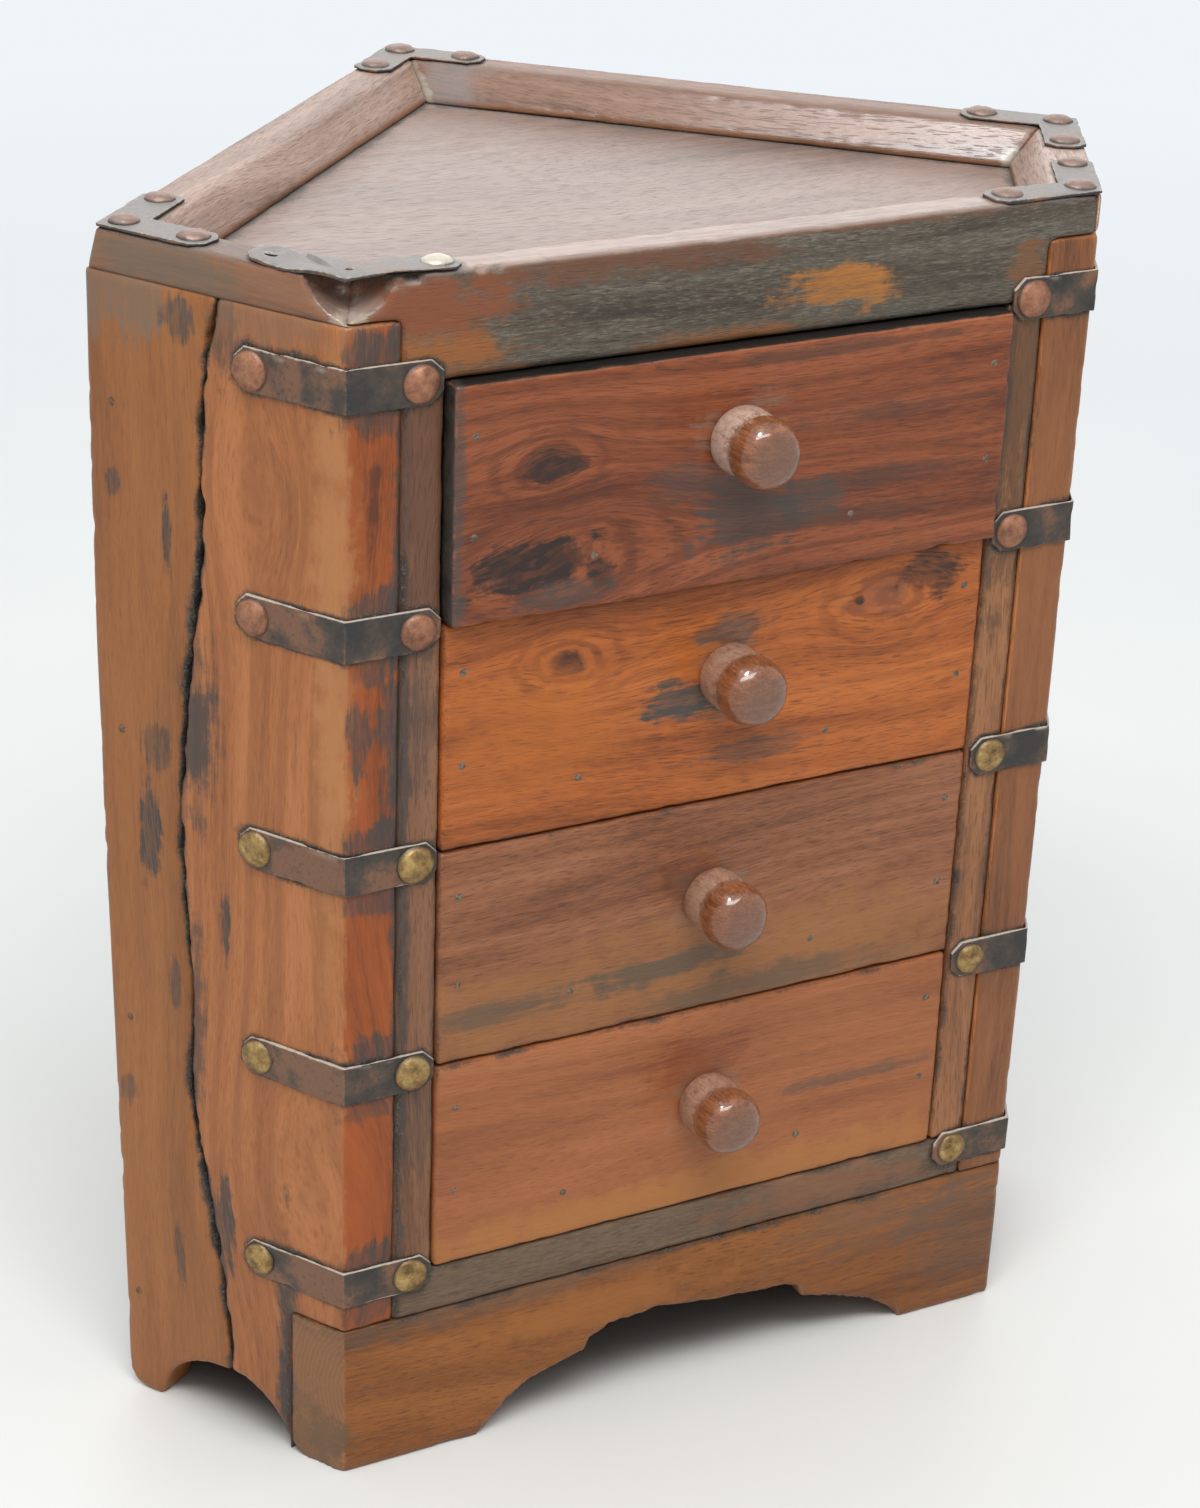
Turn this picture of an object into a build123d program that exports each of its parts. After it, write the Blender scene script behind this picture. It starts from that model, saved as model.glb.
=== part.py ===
from build123d import *
from math import cos, radians, sin, tan
import os

# A five-sided wooden chest that stands in the corner of a room, with four drawers.
# Lengths are in millimetres and angles in degrees. +Z is up, the front faces -Y, and the
# origin is on the floor at the middle of the overall box.

# Plan and height of the case
FRONT_WIDTH = 223.0
RETURN_LENGTH = 78.5
RETURN_ANGLE = 60.0
BACK_ANGLE = 45.0
HEIGHT = 355.0

# Case boards
SIDE_THICKNESS = 14.0
BACK_THICKNESS = 8.0
STILE_WIDTH = 11.0
APRON_HEIGHT = 48.5
APRON_THICKNESS = 17.3
BOTTOM_RAIL_HEIGHT = 14.5
TOP_RAIL_HEIGHT = 17.0
TOP_PANEL_THICKNESS = 10.0

# The wavy split down the left return, as shares of the return's length and the board's height
SPLIT_WIDTH = 0.8
SPLIT_SHARES = (
    (0.52, 0.0),
    (0.53, 0.09),
    (0.61, 0.22),
    (0.68, 0.32),
    (0.675, 0.42),
    (0.705, 0.53),
    (0.665, 0.68),
    (0.60, 0.81),
    (0.59, 0.90),
    (0.51, 1.0),
)

# Rim round the tray top, with the broken corner at its front left
RIM_HEIGHT = 11.0
RIM_FLAT = 12.0
RIM_BEVEL_WIDTH = 8.0
RIM_BEVEL_DROP = 10.0
CHIP_RADIUS = 14.0
CHIP_DEPTH = 10.0

# Foot cut-outs
FRONT_ARCH_WIDTH = 146.0
FRONT_ARCH_HEIGHT = 23.0
FRONT_ARCH_OFFSET = 5.0
FRONT_STEP_WIDTH = 74.0
FRONT_STEP_SHOULDER = 21.5
FRONT_STEP_HEIGHT = 27.5
SIDE_ARCH_WIDTH = 46.5
SIDE_ARCH_HEIGHT = 19.0

# Shelves and the strips on them that guide the drawers
SHELF_THICKNESS = 8.0
SHELF_GAP = 2.0
GUIDE_WIDTH = 8.0
GUIDE_HEIGHT = 10.0
GUIDE_GAP = 0.3

# Drawers, numbered from the top
DRAWER_COUNT = 4
DRAWER_FRONT_THICKNESS = 12.0
DRAWER_SIDE_THICKNESS = 12.0
DRAWER_BACK_THICKNESS = 10.0
DRAWER_BOTTOM_THICKNESS = 6.0
DRAWER_SIDE_GAP = 0.5
DRAWER_FACE_GAP = 0.6
DRAWER_LIP = 12.0
DRAWER_HEADROOM = 8.0
DRAWER_RUN_GAP = 0.3
DRAWER_STOP_GAP = 0.8
DRAWER_AJAR = 4.5

# Turned knobs: places as shares of the drawer front's half width, from its middle line, and of
# its height. The holes were bored by eye.
KNOB_COLLAR_RADIUS = 9.5
KNOB_COLLAR_LENGTH = 8.2
KNOB_GROOVE_RADIUS = 8.4
KNOB_GROOVE_WIDTH = 1.6
KNOB_HEAD_RADIUS = 9.7
KNOB_HEAD_LENGTH = 11.0
KNOB_DOME_HEIGHT = 1.2
KNOB_FACE_SHARE = 0.72
KNOB_BACK_SHARE = 0.93
KNOB_WAIST_SHARE = 0.35
KNOB_TENON_RADIUS = 4.5
KNOB_TENON_FIT = 0.05
KNOB_SIDE_SHARES = (-0.014, 0.024, 0.01, 0.033)
KNOB_RISE_SHARES = (0.633, 0.581, 0.55, 0.534)

# Nails: places as shares of the drawer front's height, of its half width and of the case
NAIL_RADIUS = 1.1
NAIL_BITE = 13.0
SIDE_NAIL_SHARES = (0.375, 0.79)
BOTTOM_NAIL_SHARES = (-0.51, 0.42)
CASE_NAIL_SHARES = (0.1, 0.37, 0.63, 0.9)

# Iron straps
STRAP_THICKNESS = 1.0
STRAP_CLIP = 3.2
TOP_STRAP_LEG = 33.0
EDGE_STRAP_WIDTH = 12.0
EDGE_STRAP_RETURN = 34.5
EDGE_STRAP_SETBACK = 0.7

# Heights of the straps on the front corners, from their drawer joints, in strap widths
LEFT_STRAP_SHARES = (0.05, 0.08, -0.08, 0.0, 0.04)
RIGHT_STRAP_SHARES = (-0.28, -0.28, -0.22, 0.04, 0.12)

# Domed tacks
TACK_HEAD_RADIUS = 5.3
TACK_HEAD_HEIGHT = 2.6
TACK_SHANK_RADIUS = 0.9
TACK_DEPTH_SHARE = 0.75
TOP_TACK_REACH = 27.0
EDGE_TACK_FRONT = 20.0
EDGE_TACK_RETURN = 29.0

# One clearance round every nail and tack, and one overrun for all cuts
FASTENER_FIT = 0.03
OVERRUN = 5.0

# Heights that follow from the sizes above
RIM_BOTTOM = HEIGHT - RIM_HEIGHT
OPENING_TOP = RIM_BOTTOM - TOP_RAIL_HEIGHT
OPENING_BOTTOM = APRON_HEIGHT + BOTTOM_RAIL_HEIGHT
DRAWER_PITCH = (OPENING_TOP - OPENING_BOTTOM) / DRAWER_COUNT

# Plan that follows from the sizes above
RETURN_RUN = RETURN_LENGTH * cos(radians(RETURN_ANGLE))
RETURN_DEPTH = RETURN_LENGTH * sin(radians(RETURN_ANGLE))
HALF_FRONT = FRONT_WIDTH / 2
HALF_WIDTH = HALF_FRONT + RETURN_RUN
CASE_DEPTH = RETURN_DEPTH + HALF_WIDTH * tan(radians(BACK_ANGLE))
KNOB_REACH = KNOB_COLLAR_LENGTH + KNOB_GROOVE_WIDTH + KNOB_HEAD_LENGTH
FRONT_Y = (KNOB_REACH + DRAWER_AJAR - CASE_DEPTH) / 2
FRAME_THICKNESS = DRAWER_FRONT_THICKNESS + SHELF_GAP
RIM_WIDTH = RIM_FLAT + RIM_BEVEL_WIDTH
UP = Vector(0, 0, 1)
FORWARD = Vector(0, -1, 0)

FRONT_LEFT = Vector(-HALF_FRONT, FRONT_Y)
FRONT_RIGHT = Vector(HALF_FRONT, FRONT_Y)
REAR_RIGHT = Vector(HALF_WIDTH, FRONT_Y + RETURN_DEPTH)
APEX = Vector(0, FRONT_Y + CASE_DEPTH)
REAR_LEFT = Vector(-HALF_WIDTH, FRONT_Y + RETURN_DEPTH)

# The five outer faces, anticlockwise seen from above
FACES = {
    "front": (FRONT_LEFT, FRONT_RIGHT),
    "right": (FRONT_RIGHT, REAR_RIGHT),
    "back_right": (REAR_RIGHT, APEX),
    "back_left": (APEX, REAR_LEFT),
    "left": (REAR_LEFT, FRONT_LEFT),
}
FACE_ORDER = list(FACES)
BACK_BESIDE = {"left": "back_left", "right": "back_right"}


def along(face):
    """Unit direction of an outer face, anticlockwise."""
    start, end = FACES[face]
    return (end - start).normalized()


def inward(face):
    """Unit direction from an outer face into the case."""
    return UP.cross(along(face))


def corner(face_a, depth_a, face_b, depth_b):
    """Plan point where two faces cross, each moved into the case by its own depth."""
    point_a = FACES[face_a][0] + inward(face_a) * depth_a
    point_b = FACES[face_b][0] + inward(face_b) * depth_b
    across = along(face_a).cross(along(face_b)).Z
    travel = (point_b - point_a).cross(along(face_b)).Z / across
    return point_a + along(face_a) * travel


def rectangle(half_width, y_low, y_high):
    """Plan corners of a rectangle centred on the case."""
    return [(-half_width, y_low), (half_width, y_low), (half_width, y_high), (-half_width, y_high)]


def plan_face(points, height):
    """Flat face with the given plan corners, at a height."""
    with BuildSketch(Plane.XY.offset(height)) as plan:
        with BuildLine():
            Polyline(*points, close=True)
        make_face()
    return plan.sketch


def bore_faces(planes, radius):
    """Round faces just outside the planes of some fasteners, to cut their holes from."""
    with BuildSketch(*[plane.offset(OVERRUN) for plane in planes]) as bores:
        Circle(radius + FASTENER_FIT)
    return bores.sketch


def bore_depth(length):
    """Cut that takes a fastener of this length, from the faces that bore_faces gives."""
    return -(OVERRUN + length + FASTENER_FIT)


def dome_radius(radius, height):
    """Radius of the ball that a dome of this radius and height is cut from."""
    return (radius**2 + height**2) / (2 * height)


def return_plane(side):
    """Plane on a return's outer face: x runs back from the front corner, y is up."""
    front_corner = corner("front", 0, side, 0)
    rear_corner = corner(side, 0, BACK_BESIDE[side], 0)
    back = (rear_corner - front_corner).normalized()
    return Plane(origin=front_corner, x_dir=back, z_dir=back.cross(UP))


def save(builder, name):
    """Name a finished piece and write it."""
    builder.part.label = name
    export_step(builder.part, f"parts/{name}.step")


os.makedirs("parts", exist_ok=True)

# Tack: a domed head on a straight shank, standing on the plane of a strap's outer face
TACK_SHANK_LENGTH = STRAP_THICKNESS + RIM_HEIGHT * TACK_DEPTH_SHARE

with BuildPart() as tack:
    with BuildSketch(Plane.XZ):
        with BuildLine():
            Polyline(
                (0, TACK_HEAD_HEIGHT),
                (0, -TACK_SHANK_LENGTH),
                (TACK_SHANK_RADIUS, -TACK_SHANK_LENGTH),
                (TACK_SHANK_RADIUS, 0),
                (TACK_HEAD_RADIUS, 0),
            )
            RadiusArc(
                (TACK_HEAD_RADIUS, 0),
                (0, TACK_HEAD_HEIGHT),
                -dome_radius(TACK_HEAD_RADIUS, TACK_HEAD_HEIGHT),
            )
        make_face()
    revolve(axis=Axis.Z)


def top_tack_planes(face):
    """Planes of the tacks of the strap at the start of a face: at its corner, then along each leg."""
    before = FACE_ORDER[FACE_ORDER.index(face) - 1]
    start = FACES[face][0]
    middle = RIM_FLAT / 2
    places = [
        corner(before, middle, face, middle),
        start + along(face) * TOP_TACK_REACH + inward(face) * middle,
        start - along(before) * TOP_TACK_REACH + inward(before) * middle,
    ]
    return [Plane(origin=place + UP * (HEIGHT + STRAP_THICKNESS), z_dir=UP) for place in places]


def edge_strap_heights(side):
    """Middle heights of the straps on one front corner, from the bottom up."""
    shares = LEFT_STRAP_SHARES if side == "left" else RIGHT_STRAP_SHARES
    return [
        OPENING_BOTTOM + DRAWER_PITCH * number + EDGE_STRAP_WIDTH * share
        for number, share in enumerate(shares)
    ]


def edge_tack_planes(side, on_front):
    """Planes of the tacks on one leg of each strap of a front corner."""
    start = corner("front", 0, side, 0)
    if on_front:
        run = along("front") if side == "left" else -along("front")
        place = start + run * EDGE_TACK_FRONT
        outward = -inward("front")
    else:
        place = start + return_plane(side).x_dir * EDGE_TACK_RETURN
        outward = -inward(side)
    return [
        Plane(origin=place + outward * STRAP_THICKNESS + UP * height, z_dir=outward)
        for height in edge_strap_heights(side)
    ]


def case_nail_planes(side):
    """Planes of the nails that go through a side board along the back board behind it."""
    back = BACK_BESIDE[side]
    place = corner(side, 0, back, BACK_THICKNESS / 2)
    outward = along(back) if side == "left" else -along(back)
    return [Plane(origin=place + UP * (RIM_BOTTOM * share), z_dir=outward) for share in CASE_NAIL_SHARES]


# All tacks that stand on the top. The strap at the broken corner has lost two of its three.
LEFT_FRONT_TACKS = top_tack_planes("front")
MISSING_TACKS = [LEFT_FRONT_TACKS[0], LEFT_FRONT_TACKS[2]]
TOP_TACKS = [plane for face in FACE_ORDER for plane in top_tack_planes(face) if plane not in MISSING_TACKS]
FRONT_TACKS = edge_tack_planes("left", True) + edge_tack_planes("right", True)
CASE_NAIL_LENGTH = SIDE_THICKNESS + NAIL_BITE


def apron_outline():
    """Plan of the apron, whose ends are sawn flush with the returns."""
    return [
        corner("front", 0, "left", 0),
        corner("front", 0, "right", 0),
        corner("front", APRON_THICKNESS, "right", 0),
        corner("front", APRON_THICKNESS, "left", 0),
    ]


def side_board_outline(side):
    """Plan of a side board, from the front face to the back face."""
    back = BACK_BESIDE[side]
    return [
        corner("front", 0, side, 0),
        corner(side, 0, back, 0),
        corner(side, SIDE_THICKNESS, back, 0),
        corner("front", 0, side, SIDE_THICKNESS),
    ]


def side_arch(side):
    """Foot cut-out of a return. It starts where the end of the apron stops."""
    start = APRON_THICKNESS / sin(radians(RETURN_ANGLE))
    middle = start + SIDE_ARCH_WIDTH / 2
    with BuildSketch(return_plane(side)) as arch:
        with BuildLine():
            EllipticalCenterArc((middle, 0), SIDE_ARCH_WIDTH / 2, SIDE_ARCH_HEIGHT, arc_size=180)
            Line((start, 0), (start + SIDE_ARCH_WIDTH, 0))
        make_face()
    return arch.sketch


def split_region(shift, far):
    """Part of the left return on one side of its split, out to a distance from the front corner."""
    split = [(RETURN_LENGTH * run + shift, RIM_BOTTOM * rise) for run, rise in SPLIT_SHARES]
    foot = split[0]
    head = split[-1]
    with BuildSketch(return_plane("left")) as region:
        with BuildLine():
            Spline(*split)
            Polyline(
                head,
                (head[0], RIM_BOTTOM + OVERRUN),
                (far, RIM_BOTTOM + OVERRUN),
                (far, -OVERRUN),
                (foot[0], -OVERRUN),
                foot,
            )
        make_face()
    return region.sketch


# Side boards: notched round the ends of the apron, arched at the foot, nailed to the backs.
# The left one has come apart along a wavy split into two boards.
SIDE_CUT = SIDE_THICKNESS + OVERRUN

with BuildPart() as right_side_board:
    extrude(plan_face(side_board_outline("right"), 0), amount=RIM_BOTTOM)
    extrude(plan_face(apron_outline(), 0), amount=APRON_HEIGHT, mode=Mode.SUBTRACT)
    extrude(side_arch("right"), amount=SIDE_CUT, both=True, mode=Mode.SUBTRACT)
    extrude(
        bore_faces(edge_tack_planes("right", False), TACK_SHANK_RADIUS),
        amount=bore_depth(TACK_SHANK_LENGTH),
        mode=Mode.SUBTRACT,
    )
    extrude(
        bore_faces(case_nail_planes("right"), NAIL_RADIUS),
        amount=bore_depth(CASE_NAIL_LENGTH),
        mode=Mode.SUBTRACT,
    )
save(right_side_board, "right_side_board")

with BuildPart() as left_front_side_board:
    extrude(plan_face(side_board_outline("left"), 0), amount=RIM_BOTTOM)
    extrude(plan_face(apron_outline(), 0), amount=APRON_HEIGHT, mode=Mode.SUBTRACT)
    extrude(side_arch("left"), amount=SIDE_CUT, both=True, mode=Mode.SUBTRACT)
    extrude(
        split_region(-SPLIT_WIDTH / 2, RETURN_LENGTH + SIDE_CUT),
        amount=SIDE_CUT,
        both=True,
        mode=Mode.SUBTRACT,
    )
    extrude(
        bore_faces(edge_tack_planes("left", False), TACK_SHANK_RADIUS),
        amount=bore_depth(TACK_SHANK_LENGTH),
        mode=Mode.SUBTRACT,
    )
save(left_front_side_board, "left_front_side_board")

with BuildPart() as left_rear_side_board:
    extrude(plan_face(side_board_outline("left"), 0), amount=RIM_BOTTOM)
    extrude(side_arch("left"), amount=SIDE_CUT, both=True, mode=Mode.SUBTRACT)
    extrude(
        split_region(SPLIT_WIDTH / 2, -SIDE_CUT),
        amount=SIDE_CUT,
        both=True,
        mode=Mode.SUBTRACT,
    )
    extrude(
        bore_faces(case_nail_planes("left"), NAIL_RADIUS),
        amount=bore_depth(CASE_NAIL_LENGTH),
        mode=Mode.SUBTRACT,
    )
save(left_rear_side_board, "left_rear_side_board")

# Back boards: thin, down to the floor, between the side boards. The left one runs to the apex.
with BuildPart() as back_left_board:
    extrude(
        plan_face(
            [
                corner("left", SIDE_THICKNESS, "back_left", 0),
                corner("back_right", 0, "back_left", 0),
                corner("back_right", 0, "back_left", BACK_THICKNESS),
                corner("left", SIDE_THICKNESS, "back_left", BACK_THICKNESS),
            ],
            0,
        ),
        amount=RIM_BOTTOM,
    )
    extrude(
        bore_faces(case_nail_planes("left"), NAIL_RADIUS),
        amount=bore_depth(CASE_NAIL_LENGTH),
        mode=Mode.SUBTRACT,
    )
save(back_left_board, "back_left_board")

with BuildPart() as back_right_board:
    extrude(
        plan_face(
            [
                corner("right", SIDE_THICKNESS, "back_right", 0),
                corner("back_right", 0, "back_left", BACK_THICKNESS),
                corner("back_right", BACK_THICKNESS, "back_left", BACK_THICKNESS),
                corner("right", SIDE_THICKNESS, "back_right", BACK_THICKNESS),
            ],
            0,
        ),
        amount=RIM_BOTTOM,
    )
    extrude(
        bore_faces(case_nail_planes("right"), NAIL_RADIUS),
        amount=bore_depth(CASE_NAIL_LENGTH),
        mode=Mode.SUBTRACT,
    )
save(back_right_board, "back_right_board")

# Nails through the side boards into the ends of the backs
with BuildPart() as case_nails:
    with BuildSketch(*case_nail_planes("left"), *case_nail_planes("right")):
        Circle(NAIL_RADIUS)
    extrude(amount=-CASE_NAIL_LENGTH)
save(case_nails, "case_nails")

# Apron: the foot of the front, with a stepped arch sawn out of its lower edge
with BuildPart() as front_apron:
    extrude(plan_face(apron_outline(), 0), amount=APRON_HEIGHT)
    with BuildSketch(Plane(origin=(FRONT_ARCH_OFFSET, FRONT_Y), x_dir=along("front"), z_dir=FORWARD)):
        with BuildLine():
            EllipticalCenterArc((0, 0), FRONT_ARCH_WIDTH / 2, FRONT_ARCH_HEIGHT, arc_size=180)
            Line((-FRONT_ARCH_WIDTH / 2, 0), (FRONT_ARCH_WIDTH / 2, 0))
        make_face()
        with BuildLine():
            Polyline(
                (-FRONT_STEP_WIDTH / 2, FRONT_STEP_SHOULDER),
                (-FRONT_STEP_WIDTH / 2, 0),
                (FRONT_STEP_WIDTH / 2, 0),
                (FRONT_STEP_WIDTH / 2, FRONT_STEP_SHOULDER),
            )
            ThreePointArc(
                (FRONT_STEP_WIDTH / 2, FRONT_STEP_SHOULDER),
                (0, FRONT_STEP_HEIGHT),
                (-FRONT_STEP_WIDTH / 2, FRONT_STEP_SHOULDER),
            )
        make_face()
    extrude(amount=APRON_THICKNESS + OVERRUN, both=True, mode=Mode.SUBTRACT)
save(front_apron, "front_apron")


def rail_outline():
    """Plan of a rail of the front frame, between the side boards."""
    return [
        corner("front", 0, "left", SIDE_THICKNESS),
        corner("front", 0, "right", SIDE_THICKNESS),
        corner("front", FRAME_THICKNESS, "right", SIDE_THICKNESS),
        corner("front", FRAME_THICKNESS, "left", SIDE_THICKNESS),
    ]


def rim_outline(face):
    """Plan of one length of the rim, mitred at both ends."""
    before = FACE_ORDER[FACE_ORDER.index(face) - 1]
    after = FACE_ORDER[(FACE_ORDER.index(face) + 1) % len(FACE_ORDER)]
    return [
        corner(before, 0, face, 0),
        corner(face, 0, after, 0),
        corner(face, RIM_WIDTH, after, RIM_WIDTH),
        corner(before, RIM_WIDTH, face, RIM_WIDTH),
    ]


def rim_bevel(face):
    """Section of the wood planed off the inner edge of one length of the rim."""
    start = FACES[face][0] - along(face) * OVERRUN + UP * HEIGHT
    with BuildSketch(Plane(origin=start, x_dir=inward(face), z_dir=along(face))) as bevel:
        with BuildLine():
            Polyline(
                (RIM_FLAT, 0),
                (RIM_WIDTH, -RIM_BEVEL_DROP),
                (RIM_WIDTH + OVERRUN, -RIM_BEVEL_DROP),
                (RIM_WIDTH + OVERRUN, OVERRUN),
                (RIM_FLAT, OVERRUN),
                close=True,
            )
        make_face()
    return bevel.sketch


def bevel_length(face):
    """Length of the cut that rim_bevel is for, past both ends of the face."""
    start, end = FACES[face]
    return (end - start).length + 2 * OVERRUN


# Front frame: the top rail is one board with the front length of the rim
CHIP_CENTRE = FRONT_LEFT + UP * (HEIGHT + CHIP_RADIUS - CHIP_DEPTH)

with BuildPart() as front_top_rail:
    extrude(plan_face(rail_outline(), OPENING_TOP), amount=TOP_RAIL_HEIGHT)
    extrude(plan_face(rim_outline("front"), RIM_BOTTOM), amount=RIM_HEIGHT)
    extrude(rim_bevel("front"), amount=bevel_length("front"), mode=Mode.SUBTRACT)
    with Locations(CHIP_CENTRE):
        Sphere(CHIP_RADIUS, mode=Mode.SUBTRACT)
    extrude(
        bore_faces(TOP_TACKS + FRONT_TACKS, TACK_SHANK_RADIUS),
        amount=bore_depth(TACK_SHANK_LENGTH),
        mode=Mode.SUBTRACT,
    )
save(front_top_rail, "front_top_rail")

with BuildPart() as front_bottom_rail:
    extrude(plan_face(rail_outline(), APRON_HEIGHT), amount=BOTTOM_RAIL_HEIGHT)
    extrude(
        bore_faces(FRONT_TACKS, TACK_SHANK_RADIUS),
        amount=bore_depth(TACK_SHANK_LENGTH),
        mode=Mode.SUBTRACT,
    )
save(front_bottom_rail, "front_bottom_rail")

HALF_OPENING = corner("front", 0, "right", SIDE_THICKNESS).X - STILE_WIDTH

for side in ("left", "right"):
    edge_x = -HALF_OPENING if side == "left" else HALF_OPENING
    with BuildPart() as stile:
        extrude(
            plan_face(
                [
                    corner("front", 0, side, SIDE_THICKNESS),
                    (edge_x, FRONT_Y),
                    (edge_x, FRONT_Y + FRAME_THICKNESS),
                    corner("front", FRAME_THICKNESS, side, SIDE_THICKNESS),
                ],
                OPENING_BOTTOM,
            ),
            amount=OPENING_TOP - OPENING_BOTTOM,
        )
        extrude(
            bore_faces(FRONT_TACKS, TACK_SHANK_RADIUS),
            amount=bore_depth(TACK_SHANK_LENGTH),
            mode=Mode.SUBTRACT,
        )
    save(stile, f"{side}_stile")

# The other four lengths of the rim, on the tops of the side and back boards
for face in FACE_ORDER[1:]:
    with BuildPart() as rim:
        extrude(plan_face(rim_outline(face), RIM_BOTTOM), amount=RIM_HEIGHT)
        extrude(rim_bevel(face), amount=bevel_length(face), mode=Mode.SUBTRACT)
        if face == "left":
            with Locations(CHIP_CENTRE):
                Sphere(CHIP_RADIUS, mode=Mode.SUBTRACT)
        extrude(
            bore_faces(TOP_TACKS, TACK_SHANK_RADIUS),
            amount=bore_depth(TACK_SHANK_LENGTH),
            mode=Mode.SUBTRACT,
        )
    save(rim, f"rim_{face}")


def inside_outline():
    """Plan of the space inside the case, behind the front frame."""
    return [
        corner("front", FRAME_THICKNESS, "left", SIDE_THICKNESS),
        corner("front", FRAME_THICKNESS, "right", SIDE_THICKNESS),
        corner("right", SIDE_THICKNESS, "back_right", BACK_THICKNESS),
        corner("back_right", BACK_THICKNESS, "back_left", BACK_THICKNESS),
        corner("left", SIDE_THICKNESS, "back_left", BACK_THICKNESS),
    ]


# Tray panel, let in between the boards under the rim
with BuildPart() as top_panel:
    extrude(plan_face(inside_outline(), RIM_BOTTOM - TOP_PANEL_THICKNESS), amount=TOP_PANEL_THICKNESS)
save(top_panel, "top_panel")

# Shelves that the drawers run on, hidden behind the lower edges of their fronts
SHELF_NAMES = ("upper_shelf", "middle_shelf", "lower_shelf", "bottom_shelf")
SHELF_RISE = DRAWER_LIP - DRAWER_RUN_GAP
DRAWER_LEVELS = [OPENING_TOP - DRAWER_PITCH * (number + 1) for number in range(DRAWER_COUNT)]

for name, level in zip(SHELF_NAMES, DRAWER_LEVELS):
    with BuildPart() as shelf:
        extrude(
            plan_face(inside_outline(), level + SHELF_RISE - SHELF_THICKNESS),
            amount=SHELF_THICKNESS,
        )
    save(shelf, name)

# Guide strips on the shelves, one each side of every drawer, from the stile to the back
INNER_APEX = corner("back_right", BACK_THICKNESS, "back_left", BACK_THICKNESS)
BACK_SLOPE = tan(radians(BACK_ANGLE))
GUIDE_NEAR = HALF_OPENING + GUIDE_GAP
GUIDE_FAR = GUIDE_NEAR + GUIDE_WIDTH

for side, sign in (("left", -1), ("right", 1)):
    guide_outline = [
        (sign * GUIDE_NEAR, FRONT_Y + FRAME_THICKNESS),
        (sign * GUIDE_FAR, FRONT_Y + FRAME_THICKNESS),
        (sign * GUIDE_FAR, INNER_APEX.Y - GUIDE_FAR * BACK_SLOPE),
        (sign * GUIDE_NEAR, INNER_APEX.Y - GUIDE_NEAR * BACK_SLOPE),
    ]
    with BuildPart() as guides:
        for level in DRAWER_LEVELS:
            extrude(plan_face(guide_outline, level + SHELF_RISE), amount=GUIDE_HEIGHT)
    save(guides, f"{side}_drawer_guides")

# Flat iron straps over the corners of the rim, each cut in a V from one plate
TOP_STRAP_NAMES = {
    "front": "strap_front_left",
    "right": "strap_front_right",
    "back_right": "strap_rear_right",
    "back_left": "strap_apex",
    "left": "strap_rear_left",
}

for face, name in TOP_STRAP_NAMES.items():
    before = FACE_ORDER[FACE_ORDER.index(face) - 1]
    bend = FACES[face][0]
    near_end = bend - along(before) * TOP_STRAP_LEG
    far_end = bend + along(face) * TOP_STRAP_LEG
    strap_outline = [
        bend,
        far_end,
        far_end + inward(face) * RIM_FLAT,
        corner(before, RIM_FLAT, face, RIM_FLAT),
        near_end + inward(before) * RIM_FLAT,
        near_end,
    ]
    with BuildPart() as strap:
        extrude(plan_face(strap_outline, HEIGHT), amount=STRAP_THICKNESS)
        strap_ends = strap.edges().filter_by(Axis.Z).sort_by_distance(bend + UP * HEIGHT)[-4:]
        chamfer(strap_ends, STRAP_CLIP)
        extrude(
            bore_faces(top_tack_planes(face), TACK_SHANK_RADIUS),
            amount=bore_depth(TACK_SHANK_LENGTH),
            mode=Mode.SUBTRACT,
        )
    save(strap, name)

# Iron straps bent round the two front corners, one at each drawer joint
EDGE_STRAP_FRONT = HALF_FRONT - HALF_OPENING - EDGE_STRAP_SETBACK

for side in ("left", "right"):
    bend = corner("front", 0, side, 0)
    run = along("front") if side == "left" else -along("front")
    front_end = bend + run * EDGE_STRAP_FRONT
    return_end = bend + return_plane(side).x_dir * EDGE_STRAP_RETURN
    strap_outline = [
        front_end,
        bend,
        return_end,
        return_end - inward(side) * STRAP_THICKNESS,
        corner("front", -STRAP_THICKNESS, side, -STRAP_THICKNESS),
        front_end - inward("front") * STRAP_THICKNESS,
    ]
    heights = edge_strap_heights(side)
    with BuildPart() as edge_straps:
        for height in heights:
            extrude(plan_face(strap_outline, height - EDGE_STRAP_WIDTH / 2), amount=EDGE_STRAP_WIDTH)
        strap_ends = edge_straps.edges().sort_by(SortBy.LENGTH)[: 4 * len(heights)]
        chamfer(strap_ends, STRAP_CLIP)
        extrude(
            bore_faces(edge_tack_planes(side, True) + edge_tack_planes(side, False), TACK_SHANK_RADIUS),
            amount=bore_depth(TACK_SHANK_LENGTH),
            mode=Mode.SUBTRACT,
        )
    save(edge_straps, f"{side}_edge_straps")

    with BuildPart() as edge_tacks:
        with Locations(*edge_tack_planes(side, True), *edge_tack_planes(side, False)):
            add(tack.part)
    save(edge_tacks, f"{side}_edge_tacks")

with BuildPart() as top_strap_tacks:
    with Locations(*TOP_TACKS):
        add(tack.part)
save(top_strap_tacks, "top_strap_tacks")

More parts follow.
